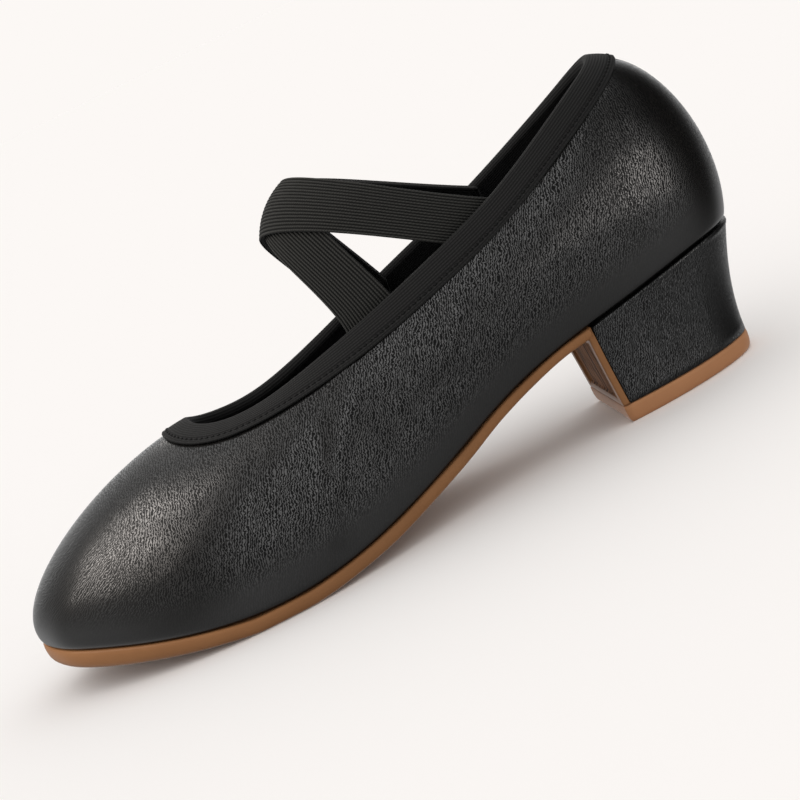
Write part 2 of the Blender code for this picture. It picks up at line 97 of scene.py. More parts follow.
# Ribs of the last from the heel back along the outer side to the toe tip, in millimetres: each is one curve
# from the sole edge (foot) to the collar edge (top), steered by a low and a high handle
RIB_COLUMNS = (
    "foot_x", "foot_outer", "foot_inner",
    "low_x", "low_outer", "low_inner", "low_z",
    "high_x", "high_y", "high_z",
    "top_x", "top_y", "top_z", "inner_drop",
)
RIBS = (
    (-117.0, 0.0, 0.0, -8.5, 0.0, 0.0, 19.0, -21.0, 0.0, -6.6, -99.0, 0.0, 99.4, 0.0),
    (-111.5, 13.8, 13.8, -7.0, 4.0, 4.0, 19.0, -18.0, 5.5, -7.8, -95.5, 11.0, 98.0, 1.5),
    (-99.0, 20.8, 20.6, -4.0, 6.5, 6.5, 19.0, -10.0, 8.5, -12.0, -86.0, 19.0, 94.0, 3.2),
    (-80.0, 24.3, 23.6, -1.0, 8.0, 8.5, 19.0, -3.5, 8.0, -15.0, -71.0, 24.3, 87.0, 3.4),
    (-58.0, 25.3, 22.7, 0.0, 9.0, 10.5, 19.0, -1.0, 7.0, -15.0, -51.0, 27.4, 78.0, 2.6),
    (-34.0, 26.5, 21.0, 0.0, 9.5, 13.0, 18.0, 0.0, 7.0, -14.0, -29.0, 28.2, 70.6, 2.4),
    (-8.0, 29.9, 23.2, 0.0, 9.0, 13.5, 17.0, 1.0, 9.0, -12.0, -7.0, 27.3, 64.0, 2.8),
    (20.0, 36.6, 30.6, 0.0, 7.0, 10.0, 18.0, 3.0, 13.0, -9.0, 14.0, 25.0, 58.3, 3.6),
    (50.0, 40.2, 37.8, 0.0, 5.0, 6.5, 18.0, 9.0, 15.0, -7.0, 31.0, 21.8, 54.6, 3.4),
    (80.0, 35.8, 37.3, 1.0, 4.0, 5.0, 16.0, 16.0, 13.0, -6.2, 42.9, 17.4, 53.9, 2.3),
    (104.0, 23.4, 28.0, 3.0, 3.0, 4.0, 15.5, 24.0, 10.0, -5.0, 49.8, 11.8, 54.8, 1.3),
    (116.0, 12.5, 17.5, 4.5, 2.0, 2.5, 14.8, 30.0, 5.0, -2.9, 53.0, 5.9, 56.0, 0.5),
    (121.0, -3.0, 3.0, 5.5, 0.0, 0.0, 14.8, 32.0, -1.0, -2.2, 53.9, 0.0, 56.6, 0.0),
)

# Soft ridges (height above 0) and troughs of the quarters, in millimetres, seen from the side: x and z of the
# top end and of the low end, half width, height and side (1 outer, -1 inner)
CREASE_FADE = 0.7        # how blunt the ends of a crease are
CREASES = (
    (3.0, 56.0, 33.0, 13.0, 5.0, 1.35, 1.0),
    (-35.0, 63.0, -19.0, 41.0, 5.0, 1.05, 1.0),
    (-66.0, 66.0, 38.0, 12.0, 9.0, 1.00, 1.0),
    (-86.0, 91.0, -46.0, 63.0, 5.0, -0.90, 1.0),
    (20.0, 49.0, 29.0, 28.0, 3.5, -0.40, 1.0),
    (36.0, 49.0, 47.0, 21.0, 6.0, -0.35, 1.0),
    (-52.0, 64.0, -30.0, 40.0, 6.0, 0.40, 1.0),
    (-2.0, 54.0, 24.0, 18.0, 6.5, 0.90, -1.0),
    (-18.0, 54.0, 8.0, 22.0, 6.0, -0.60, -1.0),
    (-36.0, 60.0, -14.0, 34.0, 6.5, 0.75, -1.0),
    (24.0, 46.0, 40.0, 18.0, 6.5, -0.60, -1.0),
)

# Seam at the heel back, in millimetres
SEAM_DEPTH = 0.45
SEAM_HALF_WIDTH = 0.45
SEAM_LIP = 0.18
SEAM_LIP_PLACE = 1.3
SEAM_FRONT_X = -60.0
FEATHER_LEVEL = 0.025    # share of the wall over which its lower edge turns in
FEATHER_INSET = 0.5


def columns(names, rows):
    """Turn a table into one array for each named column."""
    return dict(zip(names, np.array(rows).T))


def closed_spline(keys):
    """Smooth closed curve through equally spaced keys: place 0 is the first key, place 1 is back there."""
    count = len(keys)
    identity = np.eye(count)
    blend = (4.0 * identity + np.roll(identity, 1, axis=0) + np.roll(identity, -1, axis=0)) / 6.0
    control = np.linalg.solve(blend, keys)

    def at(place):
        spot = np.asarray(place) * count
        first = np.floor(spot).astype(int)
        share = (spot - first)[..., None]
        weights = (
            (1.0 - share) ** 3,
            3.0 * share ** 3 - 6.0 * share ** 2 + 4.0,
            1.0 + 3.0 * share + 3.0 * share ** 2 - 3.0 * share ** 3,
            share ** 3,
        )
        return sum(weight * control[(first + step - 1) % count] for step, weight in enumerate(weights)) / 6.0

    return at


def smooth_line(xs, ys, x):
    """Smooth open curve through the points of a table."""
    slopes = np.gradient(ys, xs)
    before = np.clip(np.searchsorted(xs, x) - 1, 0, len(xs) - 2)
    after = before + 1
    span = xs[after] - xs[before]
    share = (x - xs[before]) / span
    rest = 1.0 - share
    start = (1.0 + 2.0 * share) * rest ** 2 * ys[before] + share * rest ** 2 * span * slopes[before]
    end = share ** 2 * (3.0 - 2.0 * share) * ys[after] - share ** 2 * rest * span * slopes[after]
    return start + end


def sole_heights(x):
    """Height of the sole's underside and of its top at a place along the foot."""
    sole = columns(SOLE_COLUMNS, SOLE_LINE)
    under = np.maximum(smooth_line(sole["x"], sole["under"], x), 0.0)
    return under, under + smooth_line(sole["x"], sole["thick"], x)


def rib_keys():
    """The key ribs in order round the shoe: heel back, outer side, toe tip, inner side."""
    rib = columns(RIB_COLUMNS, RIBS)
    last = len(RIBS) - 1
    order = [(row, 1.0) for row in range(last + 1)] + [(row, -1.0) for row in range(last - 1, 0, -1)]
    keys = []
    for row, side in order:
        name = "outer" if side > 0 else "inner"
        drop = rib["inner_drop"][row] if side < 0 else 0.0
        foot_z = sole_heights(rib["foot_x"][row])[1] + GAP
        foot = np.array((rib["foot_x"][row], side * rib["foot_" + name][row], foot_z))
        low = foot + np.array((rib["low_x"][row], side * rib["low_" + name][row], rib["low_z"][row]))
        top = np.array((rib["top_x"][row], side * rib["top_y"][row], rib["top_z"][row] - drop))
        high = top + np.array((rib["high_x"][row], side * rib["high_y"][row], rib["high_z"][row]))
        keys.append(np.concatenate((foot, low, high, top)))
    return np.array(keys)


KEY_RIBS = rib_keys()
rib_at = closed_spline(KEY_RIBS)


def wall(place, level):
    """Outside of the upper: place runs round the shoe, level from the sole edge (0) to the collar (1)."""
    foot, low, high, top = np.split(rib_at(place), 4, axis=-1)
    share = np.asarray(level)[..., None]
    rest = 1.0 - share
    handles = 3.0 * rest ** 2 * share * low, 3.0 * rest * share ** 2 * high
    return rest ** 3 * foot + handles[0] + handles[1] + share ** 3 * top


def unit(vectors):
    """Vectors scaled to length 1."""
    return vectors / np.linalg.norm(vectors, axis=-1, keepdims=True)


def lengths_along(line):
    """Length from the start of a line of points to each of them."""
    return np.concatenate(([0.0], np.cumsum(np.linalg.norm(np.diff(line, axis=0), axis=1))))


def wall_normal(place, level):
    """Direction out of the upper."""
    along = wall(place + PROBE, level) - wall(place - PROBE, level)
    up = wall(place, level + PROBE) - wall(place, level - PROBE)
    return unit(np.cross(up, along))


def wall_offset(place, level, out):
    """Surface at a distance outside the upper, or inside it where that is negative."""
    return wall(place, level) + np.asarray(out)[..., None] * wall_normal(place, level)


def last_shift():
    """From the last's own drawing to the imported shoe, read off the upper's box."""
    shares = np.linspace(0.0, 1.0, SEARCH_POINTS)
    drawn = wall(*np.meshgrid(shares, shares)).reshape(-1, 3)
    low, high = (np.array(corner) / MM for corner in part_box("upper"))
    shift = 0.5 * (low + high - drawn.min(axis=0) - drawn.max(axis=0))
    return shift * np.array((1.0, 1.0, 0.0))


LAST_SHIFT = last_shift()


def bend_grid(points):
    """Grid of faces bent so that its vertex in column i and row j lies at points[i, j], in millimetres."""
    column_count, row_count = points.shape[0] - 1, points.shape[1] - 1
    bm = bmesh.new()
    bm.loops.layers.uv.new("lay")
    bmesh.ops.create_grid(bm, x_segments=column_count, y_segments=row_count, size=0.5, calc_uvs=True)
    for vert in bm.verts:
        column = round((vert.co.x + 0.5) * column_count)
        row = round((vert.co.y + 0.5) * row_count)
        vert.co = (points[column, row] + LAST_SHIFT) * MM
    return bm


def lay_flat(bm, points):
    """Give a bent grid a second UV map, "sheet", with the sheet's own lengths in metres."""
    column_steps = np.linalg.norm(np.diff(points, axis=0), axis=2).mean(axis=1)
    row_steps = np.linalg.norm(np.diff(points, axis=1), axis=2).mean(axis=0)
    along = np.concatenate(([0.0], np.cumsum(column_steps))) * MM
    up = np.concatenate(([0.0], np.cumsum(row_steps))) * MM
    lay = bm.loops.layers.uv["lay"]
    sheet = bm.loops.layers.uv.new("sheet")
    for face in bm.faces:
        for loop in face.loops:
            share = loop[lay].uv
            column = round(share.x * len(column_steps))
            row = round(share.y * len(row_steps))
            loop[sheet].uv = (along[column], up[row])
    return bm


def make_object(name, bm, finishes):
    """Turn a bmesh into a smooth object with its finishes."""
    bmesh.ops.remove_doubles(bm, verts=bm.verts, dist=WELD)
    for face in bm.faces:
        face.smooth = True
    mesh = bpy.data.meshes.new(name)
    bm.to_mesh(mesh)
    bm.free()
    for finish in finishes:
        mesh.materials.append(finish)
    made = bpy.data.objects.new(name, mesh)
    bpy.context.scene.collection.objects.link(made)
    return made


def make_piece(name, bm, finishes, slot, *nodes):
    """Make a piece that moves with the shoe and stands for its solids."""
    piece = make_object(name, bm, finishes)
    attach(piece, "root")
    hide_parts(*nodes)
    return piece


def thicken(piece, thickness, back_finish=0):
    """Give a sheet its thickness, inwards, and its back and edges another of its finishes."""
    solid = piece.modifiers.new("thickness", "SOLIDIFY")
    solid.thickness = thickness * MM
    solid.offset = -1.0
    solid.use_even_offset = True
    solid.material_offset = back_finish
    solid.material_offset_rim = back_finish


def linear(hex_colour):
    """Linear colour of an sRGB hex value."""
    parts = np.array([int(hex_colour[first:first + 2], 16) for first in (0, 2, 4)]) / 255.0
    return (*np.where(parts <= 0.04045, parts / 12.92, ((parts + 0.055) / 1.055) ** 2.4), 1.0)


def start_finish(name, sockets):
    """New material with the fixed values of its shader."""
    finish = bpy.data.materials.new(name)
    finish.use_nodes = True
    shader = finish.node_tree.nodes["Principled BSDF"]
    for socket, value in sockets.items():
        shader.inputs[socket].default_value = value
    return finish, finish.node_tree, shader


def feed(made, links):
    """Link sources to the sockets of a node; a node as a source stands for its first live output."""
    for name, source in dict(links).items():
        if isinstance(source, bpy.types.Node):
            source = next(output for output in source.outputs if output.enabled)
        made.id_data.links.new(source, made.inputs[name])


def add_node(tree, kind, settings=(), sockets=(), links=()):
    """Add a node with its settings, its socket values and what feeds its sockets."""
    made = tree.nodes.new("ShaderNode" + kind)
    for name, value in dict(settings).items():
        setattr(made, name, value)
    for name, value in dict(sockets).items():
        made.inputs[name].default_value = value
    feed(made, links)
    return made


def per_metre(size):
    """Scale of a pattern whose repeat has this size in millimetres."""
    return 1.0 / (size * MM)


# Drum-dyed sheep leather: fine wrinkles that lean back, under a thin semi-matt finish. The creases between
# them are painted shade, coloured darker and with less gloss. Drawn tight, it loses some of its grain over
# the toe and most along the feather edge.
# The real wrinkles are about 0.5 mm apart, drawn coarser to show.
ONE_WAVE = np.pi / 10.0  # scale at which a wave texture has one band for each unit
GRAIN_LEAN = np.radians(26.0)
GRAIN_DRIFT = 2.0        # millimetres by which the wrinkles wander
GRAIN_DRIFT_SIZE = 5.0
TIGHT_FROM = 0.060       # metres along the foot, where the toe starts to draw the leather tight
TIGHT_TO = 0.115
ROUND_FROM = 0.075       # metres from the middle, where the wrinkles turn to follow the sheet round the ends
ROUND_TO = 0.098
SMOOTH_TONE = 0.42       # tone of the smooth leather between crease and ridge
CREASE_SHADED_GLOSS = 0.12      # share of the gloss left in a crease, as painted shade
CREASE_DULLNESS = 0.3    # roughness of a crease beyond that of a ridge
CREASE_TOP = 0.35        # share of the wave's height at which a crease ends
RIDGE_TOP = 0.95         # and at which a ridge is full
TIGHT_GRAIN = 0.1        # share of the grain that is left at the feather edge


def leather_wrinkles(tree, sheet, rotation, wrinkle):
    """Wandering wrinkles across a sheet's coordinates, turned to their lean."""
    drift = add_node(tree, "TexNoise",
                     sockets={"Scale": per_metre(GRAIN_DRIFT_SIZE), "Detail": 0.0}, links={"Vector": sheet})
    wander = add_node(tree, "VectorMath", {"operation": "MULTIPLY_ADD"},
                      {1: (GRAIN_DRIFT * MM,) * 3}, {0: drift.outputs["Color"], 2: sheet})
    lean = add_node(tree, "Mapping", sockets={"Rotation": rotation}, links={"Vector": wander})
    wave = add_node(tree, "TexWave", {"bands_direction": "X"},
                    {"Scale": ONE_WAVE * per_metre(wrinkle), "Distortion": 6.0, "Detail": 1.0,
                     "Detail Scale": 3.2, "Detail Roughness": 0.4},
                    {"Vector": lean})
    return wave.outputs["Fac"]


def grained_leather(name, ridge_hex, crease_shade_hex, wrinkle, relief, roughness, tight, smooth_below,
                    grained_above):
    finish, tree, shader = start_finish(name, {"IOR": 1.45, "Specular IOR Level": 0.5})
    place = add_node(tree, "TexCoord").outputs["Object"]
    sheet = add_node(tree, "UVMap", {"uv_map": "sheet"})
    spot = add_node(tree, "SeparateXYZ", links={"Vector": place})
    off_middle = add_node(tree, "Math", {"operation": "ABSOLUTE"}, links={0: spot.outputs["X"]})
    rounding = add_node(tree, "MapRange", sockets={"From Min": ROUND_FROM, "From Max": ROUND_TO},
                        links={"Value": off_middle})
    wrinkles = add_node(tree, "Mix", links={
        "Factor": rounding,
        "A": leather_wrinkles(tree, place, (0.0, GRAIN_LEAN, 0.0), wrinkle),
        "B": leather_wrinkles(tree, sheet, (0.0, 0.0, GRAIN_LEAN), wrinkle),
    })
    dome = add_node(tree, "MapRange", {"interpolation_type": "SMOOTHSTEP"},
                    {"From Min": CREASE_TOP, "From Max": RIDGE_TOP}, {"Value": wrinkles})
    lay = add_node(tree, "UVMap", {"uv_map": "lay"})
    level = add_node(tree, "SeparateXYZ", links={"Vector": lay})
    slack = add_node(tree, "MapRange", {"interpolation_type": "SMOOTHSTEP"},
                     {"From Min": TIGHT_FROM, "From Max": TIGHT_TO, "To Min": 1.0, "To Max": tight},
                     {"Value": spot.outputs["X"]})
    free = add_node(tree, "MapRange", {"interpolation_type": "SMOOTHSTEP"},
                    {"From Min": smooth_below, "From Max": grained_above, "To Min": TIGHT_GRAIN},
                    {"Value": level.outputs["Y"]})
    grained = add_node(tree, "Math", {"operation": "MULTIPLY"}, links={0: slack, 1: free})
    height = add_node(tree, "Math", {"operation": "MULTIPLY"}, links={0: dome, 1: grained})
    bump = add_node(tree, "Bump", sockets={"Strength": 1.0, "Distance": relief * MM},
                    links={"Height": height})
    above = add_node(tree, "Math", {"operation": "SUBTRACT"}, {1: SMOOTH_TONE}, {0: dome})
    shown = add_node(tree, "Math", {"operation": "MULTIPLY_ADD"}, {2: SMOOTH_TONE}, {0: above, 1: grained})
    # painted shade: the creases take the darker colour, the ridges the lighter one
    tint = add_node(tree, "Mix", {"data_type": "RGBA"},
                    {"A": linear(crease_shade_hex), "B": linear(ridge_hex)}, {"Factor": shown})
    gloss = add_node(tree, "MapRange",
                     sockets={"To Min": roughness + CREASE_DULLNESS, "To Max": roughness},
                     links={"Value": shown})
    # painted shade: the gloss in the creases is dimmed through the specular tint
    sunk = add_node(tree, "MapRange", sockets={"To Min": CREASE_SHADED_GLOSS}, links={"Value": shown})
    feed(shader, {"Base Color": tint, "Roughness": gloss, "Specular Tint": sunk, "Normal": bump})
    return finish


# Cotton lining: plain black weave with no gloss
def lining_cloth(name, hex_colour, thread):
    finish, tree, shader = start_finish(name, {
        "Base Color": linear(hex_colour), "Roughness": 0.95, "Specular IOR Level": 0.2,
    })
    place = add_node(tree, "TexCoord").outputs["Object"]
    weave = add_node(tree, "TexVoronoi", sockets={"Scale": per_metre(thread), "Randomness": 0.25},
                     links={"Vector": place})
    bump = add_node(tree, "Bump", sockets={"Strength": 0.6, "Distance": 0.1 * MM},
                    links={"Height": weave.outputs["Distance"]})
    feed(shader, {"Normal": bump})
    return finish


def crease_relief(skin):
    """How far the leather stands out of the last, or sinks into it, at each point."""
    relief = np.zeros(skin.shape[:-1])
    for top_x, top_z, low_x, low_z, half_width, height, side in CREASES:
        start = np.array((top_x, top_z))
        run = np.array((low_x, low_z)) - start
        away = skin[..., (0, 2)] - start
        along = np.clip(away @ run / (run @ run), 0.0, 1.0)
        distance = np.linalg.norm(away - along[..., None] * run, axis=-1)
        fade = np.sin(np.pi * along) ** CREASE_FADE
        relief += height * fade * np.exp(-(distance / half_width) ** 2) * (skin[..., 1] * side > 0.0)
    return relief


def seam_relief(skin):
    """Groove of the heel seam, with the two edges of the leather rising beside it."""
    off = np.abs(skin[..., 1])
    groove = -SEAM_DEPTH * np.exp(-(off / SEAM_HALF_WIDTH) ** 2)
    lips = SEAM_LIP * np.exp(-((off - SEAM_LIP_PLACE) / SEAM_HALF_WIDTH) ** 2)
    return (groove + lips) * (skin[..., 0] < SEAM_FRONT_X)


def upper_points():
    turn = np.linspace(0.0, 1.0, UPPER_COLUMNS + 1)
    place = 1.0 - turn + SEAM_FINENESS * np.sin(2.0 * np.pi * turn) / (2.0 * np.pi)
    places, levels = np.meshgrid(place, np.linspace(0.0, 1.0, UPPER_ROWS + 1), indexing="ij")
    skin = wall(places, levels)
    feather = FEATHER_INSET * np.clip(1.0 - levels / FEATHER_LEVEL, 0.0, 1.0) ** 2
    return wall_offset(places, levels, crease_relief(skin) + seam_relief(skin) - feather)


# the second colour is the painted shade of the creases
upper_leather = grained_leather(
    "black sheep leather", "141312", "030303", wrinkle=0.72, relief=0.008, roughness=0.16, tight=0.70,
    smooth_below=0.10, grained_above=0.30,
)
lining = lining_cloth("black cotton lining", "050505", 0.6)
upper_skin = upper_points()
upper_mesh = lay_flat(bend_grid(upper_skin), upper_skin)
upper = make_piece("lasted_upper", upper_mesh, (upper_leather, lining), "leather", "upper")
thicken(upper, WALL, back_finish=1)

# Collar binding
# Woven elastic tape, folded over the cut edge of the upper and sewn through with one row of stitches.
# The needle pulls a shallow channel along the tape.
BINDING_TAPE = 0.8
BINDING_DEPTH = 7.8
BINDING_CROWN = 0.3
BINDING_ROWS = 48
BINDING_COLUMNS = 480
STITCH_UP = 1.8          # from the tape's lower edge to the stitch row
STITCH_CHANNEL = 0.22
STITCH_CHANNEL_HALF = 0.55
TAPE_EDGE = 0.35         # the tape's lower edge rolls in over this width
TAPE_CORDS = 26          # from edge to edge, before it is folded
WEFT_FURROW = 0.6        # height between two weft threads, as a share of theirs, and the painted shade there


def collar_rise(place):
    """Direction in which the wall runs on past the collar edge."""
    return unit(wall(place, np.ones_like(place)) - wall(place, np.full_like(place, 1.0 - PROBE)))


def levels_below_collar(places, depths):
    """Levels of the wall at depths below the collar, measured along the leather, for each place."""
    levels = np.linspace(1.0, 0.0, SEARCH_POINTS)
    found = []
    for place, depth in zip(places, depths):
        points = wall(np.full_like(levels, place), levels)
        found.append(np.interp(depth, lengths_along(points), levels))
    return np.array(found)


def tape_channel(up):
    """How far the tape sinks in at a height over its lower edge."""
    channel = STITCH_CHANNEL * np.exp(-((up - STITCH_UP) / STITCH_CHANNEL_HALF) ** 2)
    rolled = 0.5 * BINDING_TAPE * np.clip(1.0 - up / TAPE_EDGE, 0.0, 1.0) ** 2
    return channel + rolled


def binding_points():
    places = np.linspace(1.0, 0.0, BINDING_COLUMNS + 1)
    skin = GAP + BINDING_TAPE
    half = 0.5 * WALL + skin
    crown = skin + BINDING_CROWN
    fold = np.pi * np.sqrt(0.5 * (half ** 2 + crown ** 2))
    run = np.linspace(0.0, 2.0 * BINDING_DEPTH + fold, BINDING_ROWS + 1)
    outer = run <= BINDING_DEPTH
    inner = run >= BINDING_DEPTH + fold
    depth = np.where(outer, BINDING_DEPTH - run, np.where(inner, run - BINDING_DEPTH - fold, 0.0))
    levels = levels_below_collar(places, np.tile(depth, (len(places), 1)))
    spots = np.repeat(places[:, None], len(run), axis=1)
    sunk = tape_channel(BINDING_DEPTH - depth)
    out = np.where(outer, skin - sunk, np.where(inner, sunk - WALL - skin, -0.5 * WALL))
    points = wall_offset(spots, levels, np.broadcast_to(out, spots.shape))
    turn = np.where(outer | inner, 0.0, np.pi * (run - BINDING_DEPTH) / fold)
    over = ~(outer | inner)
    normal = wall_normal(places, np.ones_like(places))[:, None]
    rise = collar_rise(places)[:, None]
    points += np.where(over, half * np.cos(turn), 0.0)[None, :, None] * normal
    points += np.where(over, crown * np.sin(turn), 0.0)[None, :, None] * rise
    return points


# Woven polyester elastic: lengthwise cords with painted shade in the furrows between them, crossed by the
# weave, dull, with a little fuzz at its edges
def woven_tape(name, cord_hex, furrow_shade_hex, cords, weave_count, relief):
    finish, tree, shader = start_finish(name, {
        "Roughness": 0.85, "Specular IOR Level": 0.12, "Sheen Weight": 0.02, "Sheen Roughness": 0.5,
    })
    lay = add_node(tree, "UVMap", {"uv_map": "lay"})
    counted = add_node(tree, "Mapping", sockets={"Scale": (weave_count, cords, 1.0)}, links={"Vector": lay})
    one_wave = {"Scale": ONE_WAVE, "Distortion": 0.6, "Detail": 1.0}
    weft, warp = (
        add_node(tree, "TexWave", {"bands_direction": axis}, one_wave, {"Vector": counted})
        for axis in "XY"
    )
    knots = add_node(tree, "MapRange", sockets={"To Min": WEFT_FURROW},
                     links={"Value": weft.outputs["Fac"]})
    cloth = add_node(tree, "Math", {"operation": "MULTIPLY"}, links={0: knots, 1: warp.outputs["Fac"]})
    bump = add_node(tree, "Bump", sockets={"Strength": 1.0, "Distance": relief * MM},
                    links={"Height": cloth})
    # painted shade: the furrows and the dips between weft threads are coloured darker
    tint = add_node(tree, "Mix", {"data_type": "RGBA"},
                    {"A": linear(furrow_shade_hex), "B": linear(cord_hex)}, {"Factor": cloth})
    feed(shader, {"Base Color": tint, "Normal": bump})
    return finish


COLLAR_LENGTH = 362.0    # millimetres round the collar
WEFT_SPACING = 0.7       # real threads are about 0.35 mm apart, drawn coarser to show
tape_cloth = woven_tape(
    "black elastic tape", "1b1b1b", "030303", TAPE_CORDS, COLLAR_LENGTH / WEFT_SPACING, relief=0.10,
)
binding_mesh = bend_grid(binding_points())
binding = make_piece("folded_binding", binding_mesh, (tape_cloth,), "binding", "collar_binding")
thicken(binding, BINDING_TAPE)

# Binding stitches
# One row of black polyester thread through tape and leather, seen on the outside and on the inside.
STITCH_PITCH = 2.0
STITCH_LENGTH = 1.3
STITCH_RADIUS = 0.42


def stitch_row(bm, out):
    """Row of sunk stitches round the collar, at a distance from the wall."""
    fine = np.linspace(1.0, 0.0, 4 * BINDING_COLUMNS + 1)
    depth = np.full((len(fine), 1), BINDING_DEPTH - STITCH_UP)
    levels = levels_below_collar(fine, depth)[:, 0]
    line = wall_offset(fine, levels, np.full_like(fine, out)) + LAST_SHIFT
    lengths = lengths_along(line)
    count = round(lengths[-1] / STITCH_PITCH)
    for number in range(count):
        middle = (number + 0.5) * lengths[-1] / count
        spot, before, after = (
            np.array([np.interp(middle + step, lengths, line[:, axis]) for axis in range(3)])
            for step in (0.0, -0.5 * STITCH_LENGTH, 0.5 * STITCH_LENGTH)
        )
        place = np.interp(middle, lengths, fine)
        level = np.interp(middle, lengths, levels)
        along = unit(after - before)
        outward = wall_normal(np.array(place), np.array(level))
        side = unit(np.cross(outward, along))
        half_length = 0.5 * STITCH_LENGTH * along
        half_sizes = (half_length, STITCH_RADIUS * side, STITCH_RADIUS * np.cross(along, side))
        seat = Matrix(np.column_stack((*half_sizes, spot)) * MM).to_4x4()
        seat.translation = spot * MM
        bmesh.ops.create_uvsphere(bm, u_segments=8, v_segments=6, radius=1.0, matrix=seat)


def stitches():
    bm = bmesh.new()
    skin = GAP + BINDING_TAPE - STITCH_CHANNEL
    stitch_row(bm, skin)
    stitch_row(bm, -WALL - skin)
    return bm


# Twisted polyester thread: dull black
def twisted_thread(name, hex_colour, twist):
    finish, tree, shader = start_finish(name, {
        "Base Color": linear(hex_colour), "Roughness": 0.6, "Specular IOR Level": 0.1,
    })
    place = add_node(tree, "TexCoord").outputs["Object"]
    ply = add_node(tree, "TexNoise", sockets={"Scale": per_metre(twist), "Detail": 1.0},
                   links={"Vector": place})
    bump = add_node(tree, "Bump", sockets={"Strength": 0.7, "Distance": 0.1 * MM},
                    links={"Height": ply.outputs["Fac"]})
    feed(shader, {"Normal": bump})
    return finish


thread = twisted_thread("black polyester thread", "020202", 0.5)
make_piece("binding_stitches", stitches(), (thread,), "binding")

# Instep straps
# Two lengths of ribbed elastic webbing that cross over the instep and are sewn down inside the collar.
# Rubber cords in the webbing make its lengthwise ribs.
STRAP_WIDTH = 16.2
STRAP_THICKNESS = 1.3
STRAP_TUCK = 8.0
STRAP_RIBS = 17
RIB_POINTS = 6
RIB_HEIGHT = 0.42
RIB_ROUNDNESS = 0.6      # below 1 the ribs are full and the furrows between them sharp
CREST_X = 2.3
CREST_Z = 99.4
CREST_LEAN = np.radians(42.0)
CREST_CUP = 1.6
STRAP_MIDDLE_X = -25.0
STRAP_INNER_SHIFT = 4.5
STRAP_SPREAD = 19.0
ARCH_ANGLE = np.radians(75.0)
CROSSING_LIFT = 1.8
CROSSING_REACH = 0.45
STRAP_BIAS = 0.94
STRAP_ROWS = 150
TUCK_ROWS = 8
STRAP_DEPTH = WALL + 2.0 * GAP + BINDING_TAPE + 0.5 * STRAP_THICKNESS


def collar_place(x, side):
    """Place on one side of the collar, given along the foot."""
    places = np.linspace(0.0, 0.5, SEARCH_POINTS)
    found = np.interp(x, wall(places, np.ones_like(places))[:, 0], places)
    return np.where(side > 0, found, 1.0 - found)


def strap_collar_x(slide, side):
    """Where along the foot a slide along the collar ends up on the outer or inner side."""
    return np.where(side > 0, STRAP_MIDDLE_X, STRAP_MIDDLE_X - STRAP_INNER_SHIFT) - slide


def strap_sheet(turn, slide):
    """Arched sheet that both straps lie on: turn runs from the inner collar (-1) to the outer one (1)."""
    side = np.where(turn < 0, -1.0, 1.0)
    place = collar_place(strap_collar_x(slide, side), side)
    ones = np.ones_like(place)
    rim = wall_offset(place, ones, -STRAP_DEPTH * ones) + (GAP + BINDING_TAPE) * collar_rise(place)
    cup = CREST_CUP * (1.0 - (slide / (0.5 * STRAP_WIDTH)) ** 2)
    crest_x = CREST_X - slide * np.cos(CREST_LEAN) + cup * np.sin(CREST_LEAN)
    crest_z = CREST_Z + slide * np.sin(CREST_LEAN) + cup * np.cos(CREST_LEAN)
    angle = np.abs(turn) * ARCH_ANGLE
    sink = (1.0 - np.cos(angle)) / (1.0 - np.cos(ARCH_ANGLE))
    spread = np.sin(angle) / np.sin(ARCH_ANGLE)
    return np.stack((
        crest_x + sink * (rim[..., 0] - crest_x),
        spread * rim[..., 1],
        crest_z + sink * (rim[..., 2] - crest_z),
    ), axis=-1)


def strap_normal(turn, slide):
    """Direction out of the arched sheet."""
    round_arch = strap_sheet(turn + PROBE, slide) - strap_sheet(turn - PROBE, slide)
    back = strap_sheet(turn, slide + PROBE) - strap_sheet(turn, slide - PROBE)
    return unit(np.cross(round_arch, back))


def arch_shares(turns):
    """Signed share of the way along the arch for each turn, measured along its length."""
    fine = np.linspace(0.0, 1.0, SEARCH_POINTS)
    lengths = lengths_along(strap_sheet(fine, np.zeros_like(fine)))
    return np.sign(turns) * np.interp(np.abs(turns), fine, lengths / lengths[-1])


def strap_points(slant, lift):
    """Ribbed face of one strap; slant 1 leaves the outer collar at the rear, -1 at the front."""
    across = np.linspace(-1.0, 1.0, STRAP_RIBS * RIB_POINTS + 1)
    widths = across * 0.5 * STRAP_WIDTH / STRAP_BIAS
    rib = np.abs(np.sin(0.5 * np.pi * STRAP_RIBS * (across + 1.0))) ** RIB_ROUNDNESS
    turns = np.linspace(-1.0, 1.0, STRAP_ROWS + 1)
    slide = (slant * STRAP_SPREAD * arch_shares(turns))[:, None] + widths
    turn = np.repeat(turns[:, None], len(widths), axis=1)
    raised = lift * np.clip((1.0 - np.abs(turn)) / CROSSING_REACH, 0.0, 1.0)
    out = raised + 0.5 * STRAP_THICKNESS - RIB_HEIGHT * (1.0 - rib)
    arch = strap_sheet(turn, slide) + out[..., None] * strap_normal(turn, slide)

    def tucked(side):
        place = collar_place(strap_collar_x(side * slant * STRAP_SPREAD + widths, side), side)
        depths = np.linspace(0.0, STRAP_TUCK, TUCK_ROWS)
        levels = levels_below_collar(place, np.tile(depths, (len(place), 1)))
        spots = np.repeat(place[:, None], TUCK_ROWS, axis=1)
        face = -STRAP_DEPTH + 0.5 * STRAP_THICKNESS - RIB_HEIGHT * (1.0 - rib)
        return wall_offset(spots, levels, np.repeat(face[:, None], TUCK_ROWS, axis=1)).transpose(1, 0, 2)

    return np.concatenate((tucked(-1.0)[::-1], arch, tucked(1.0)))


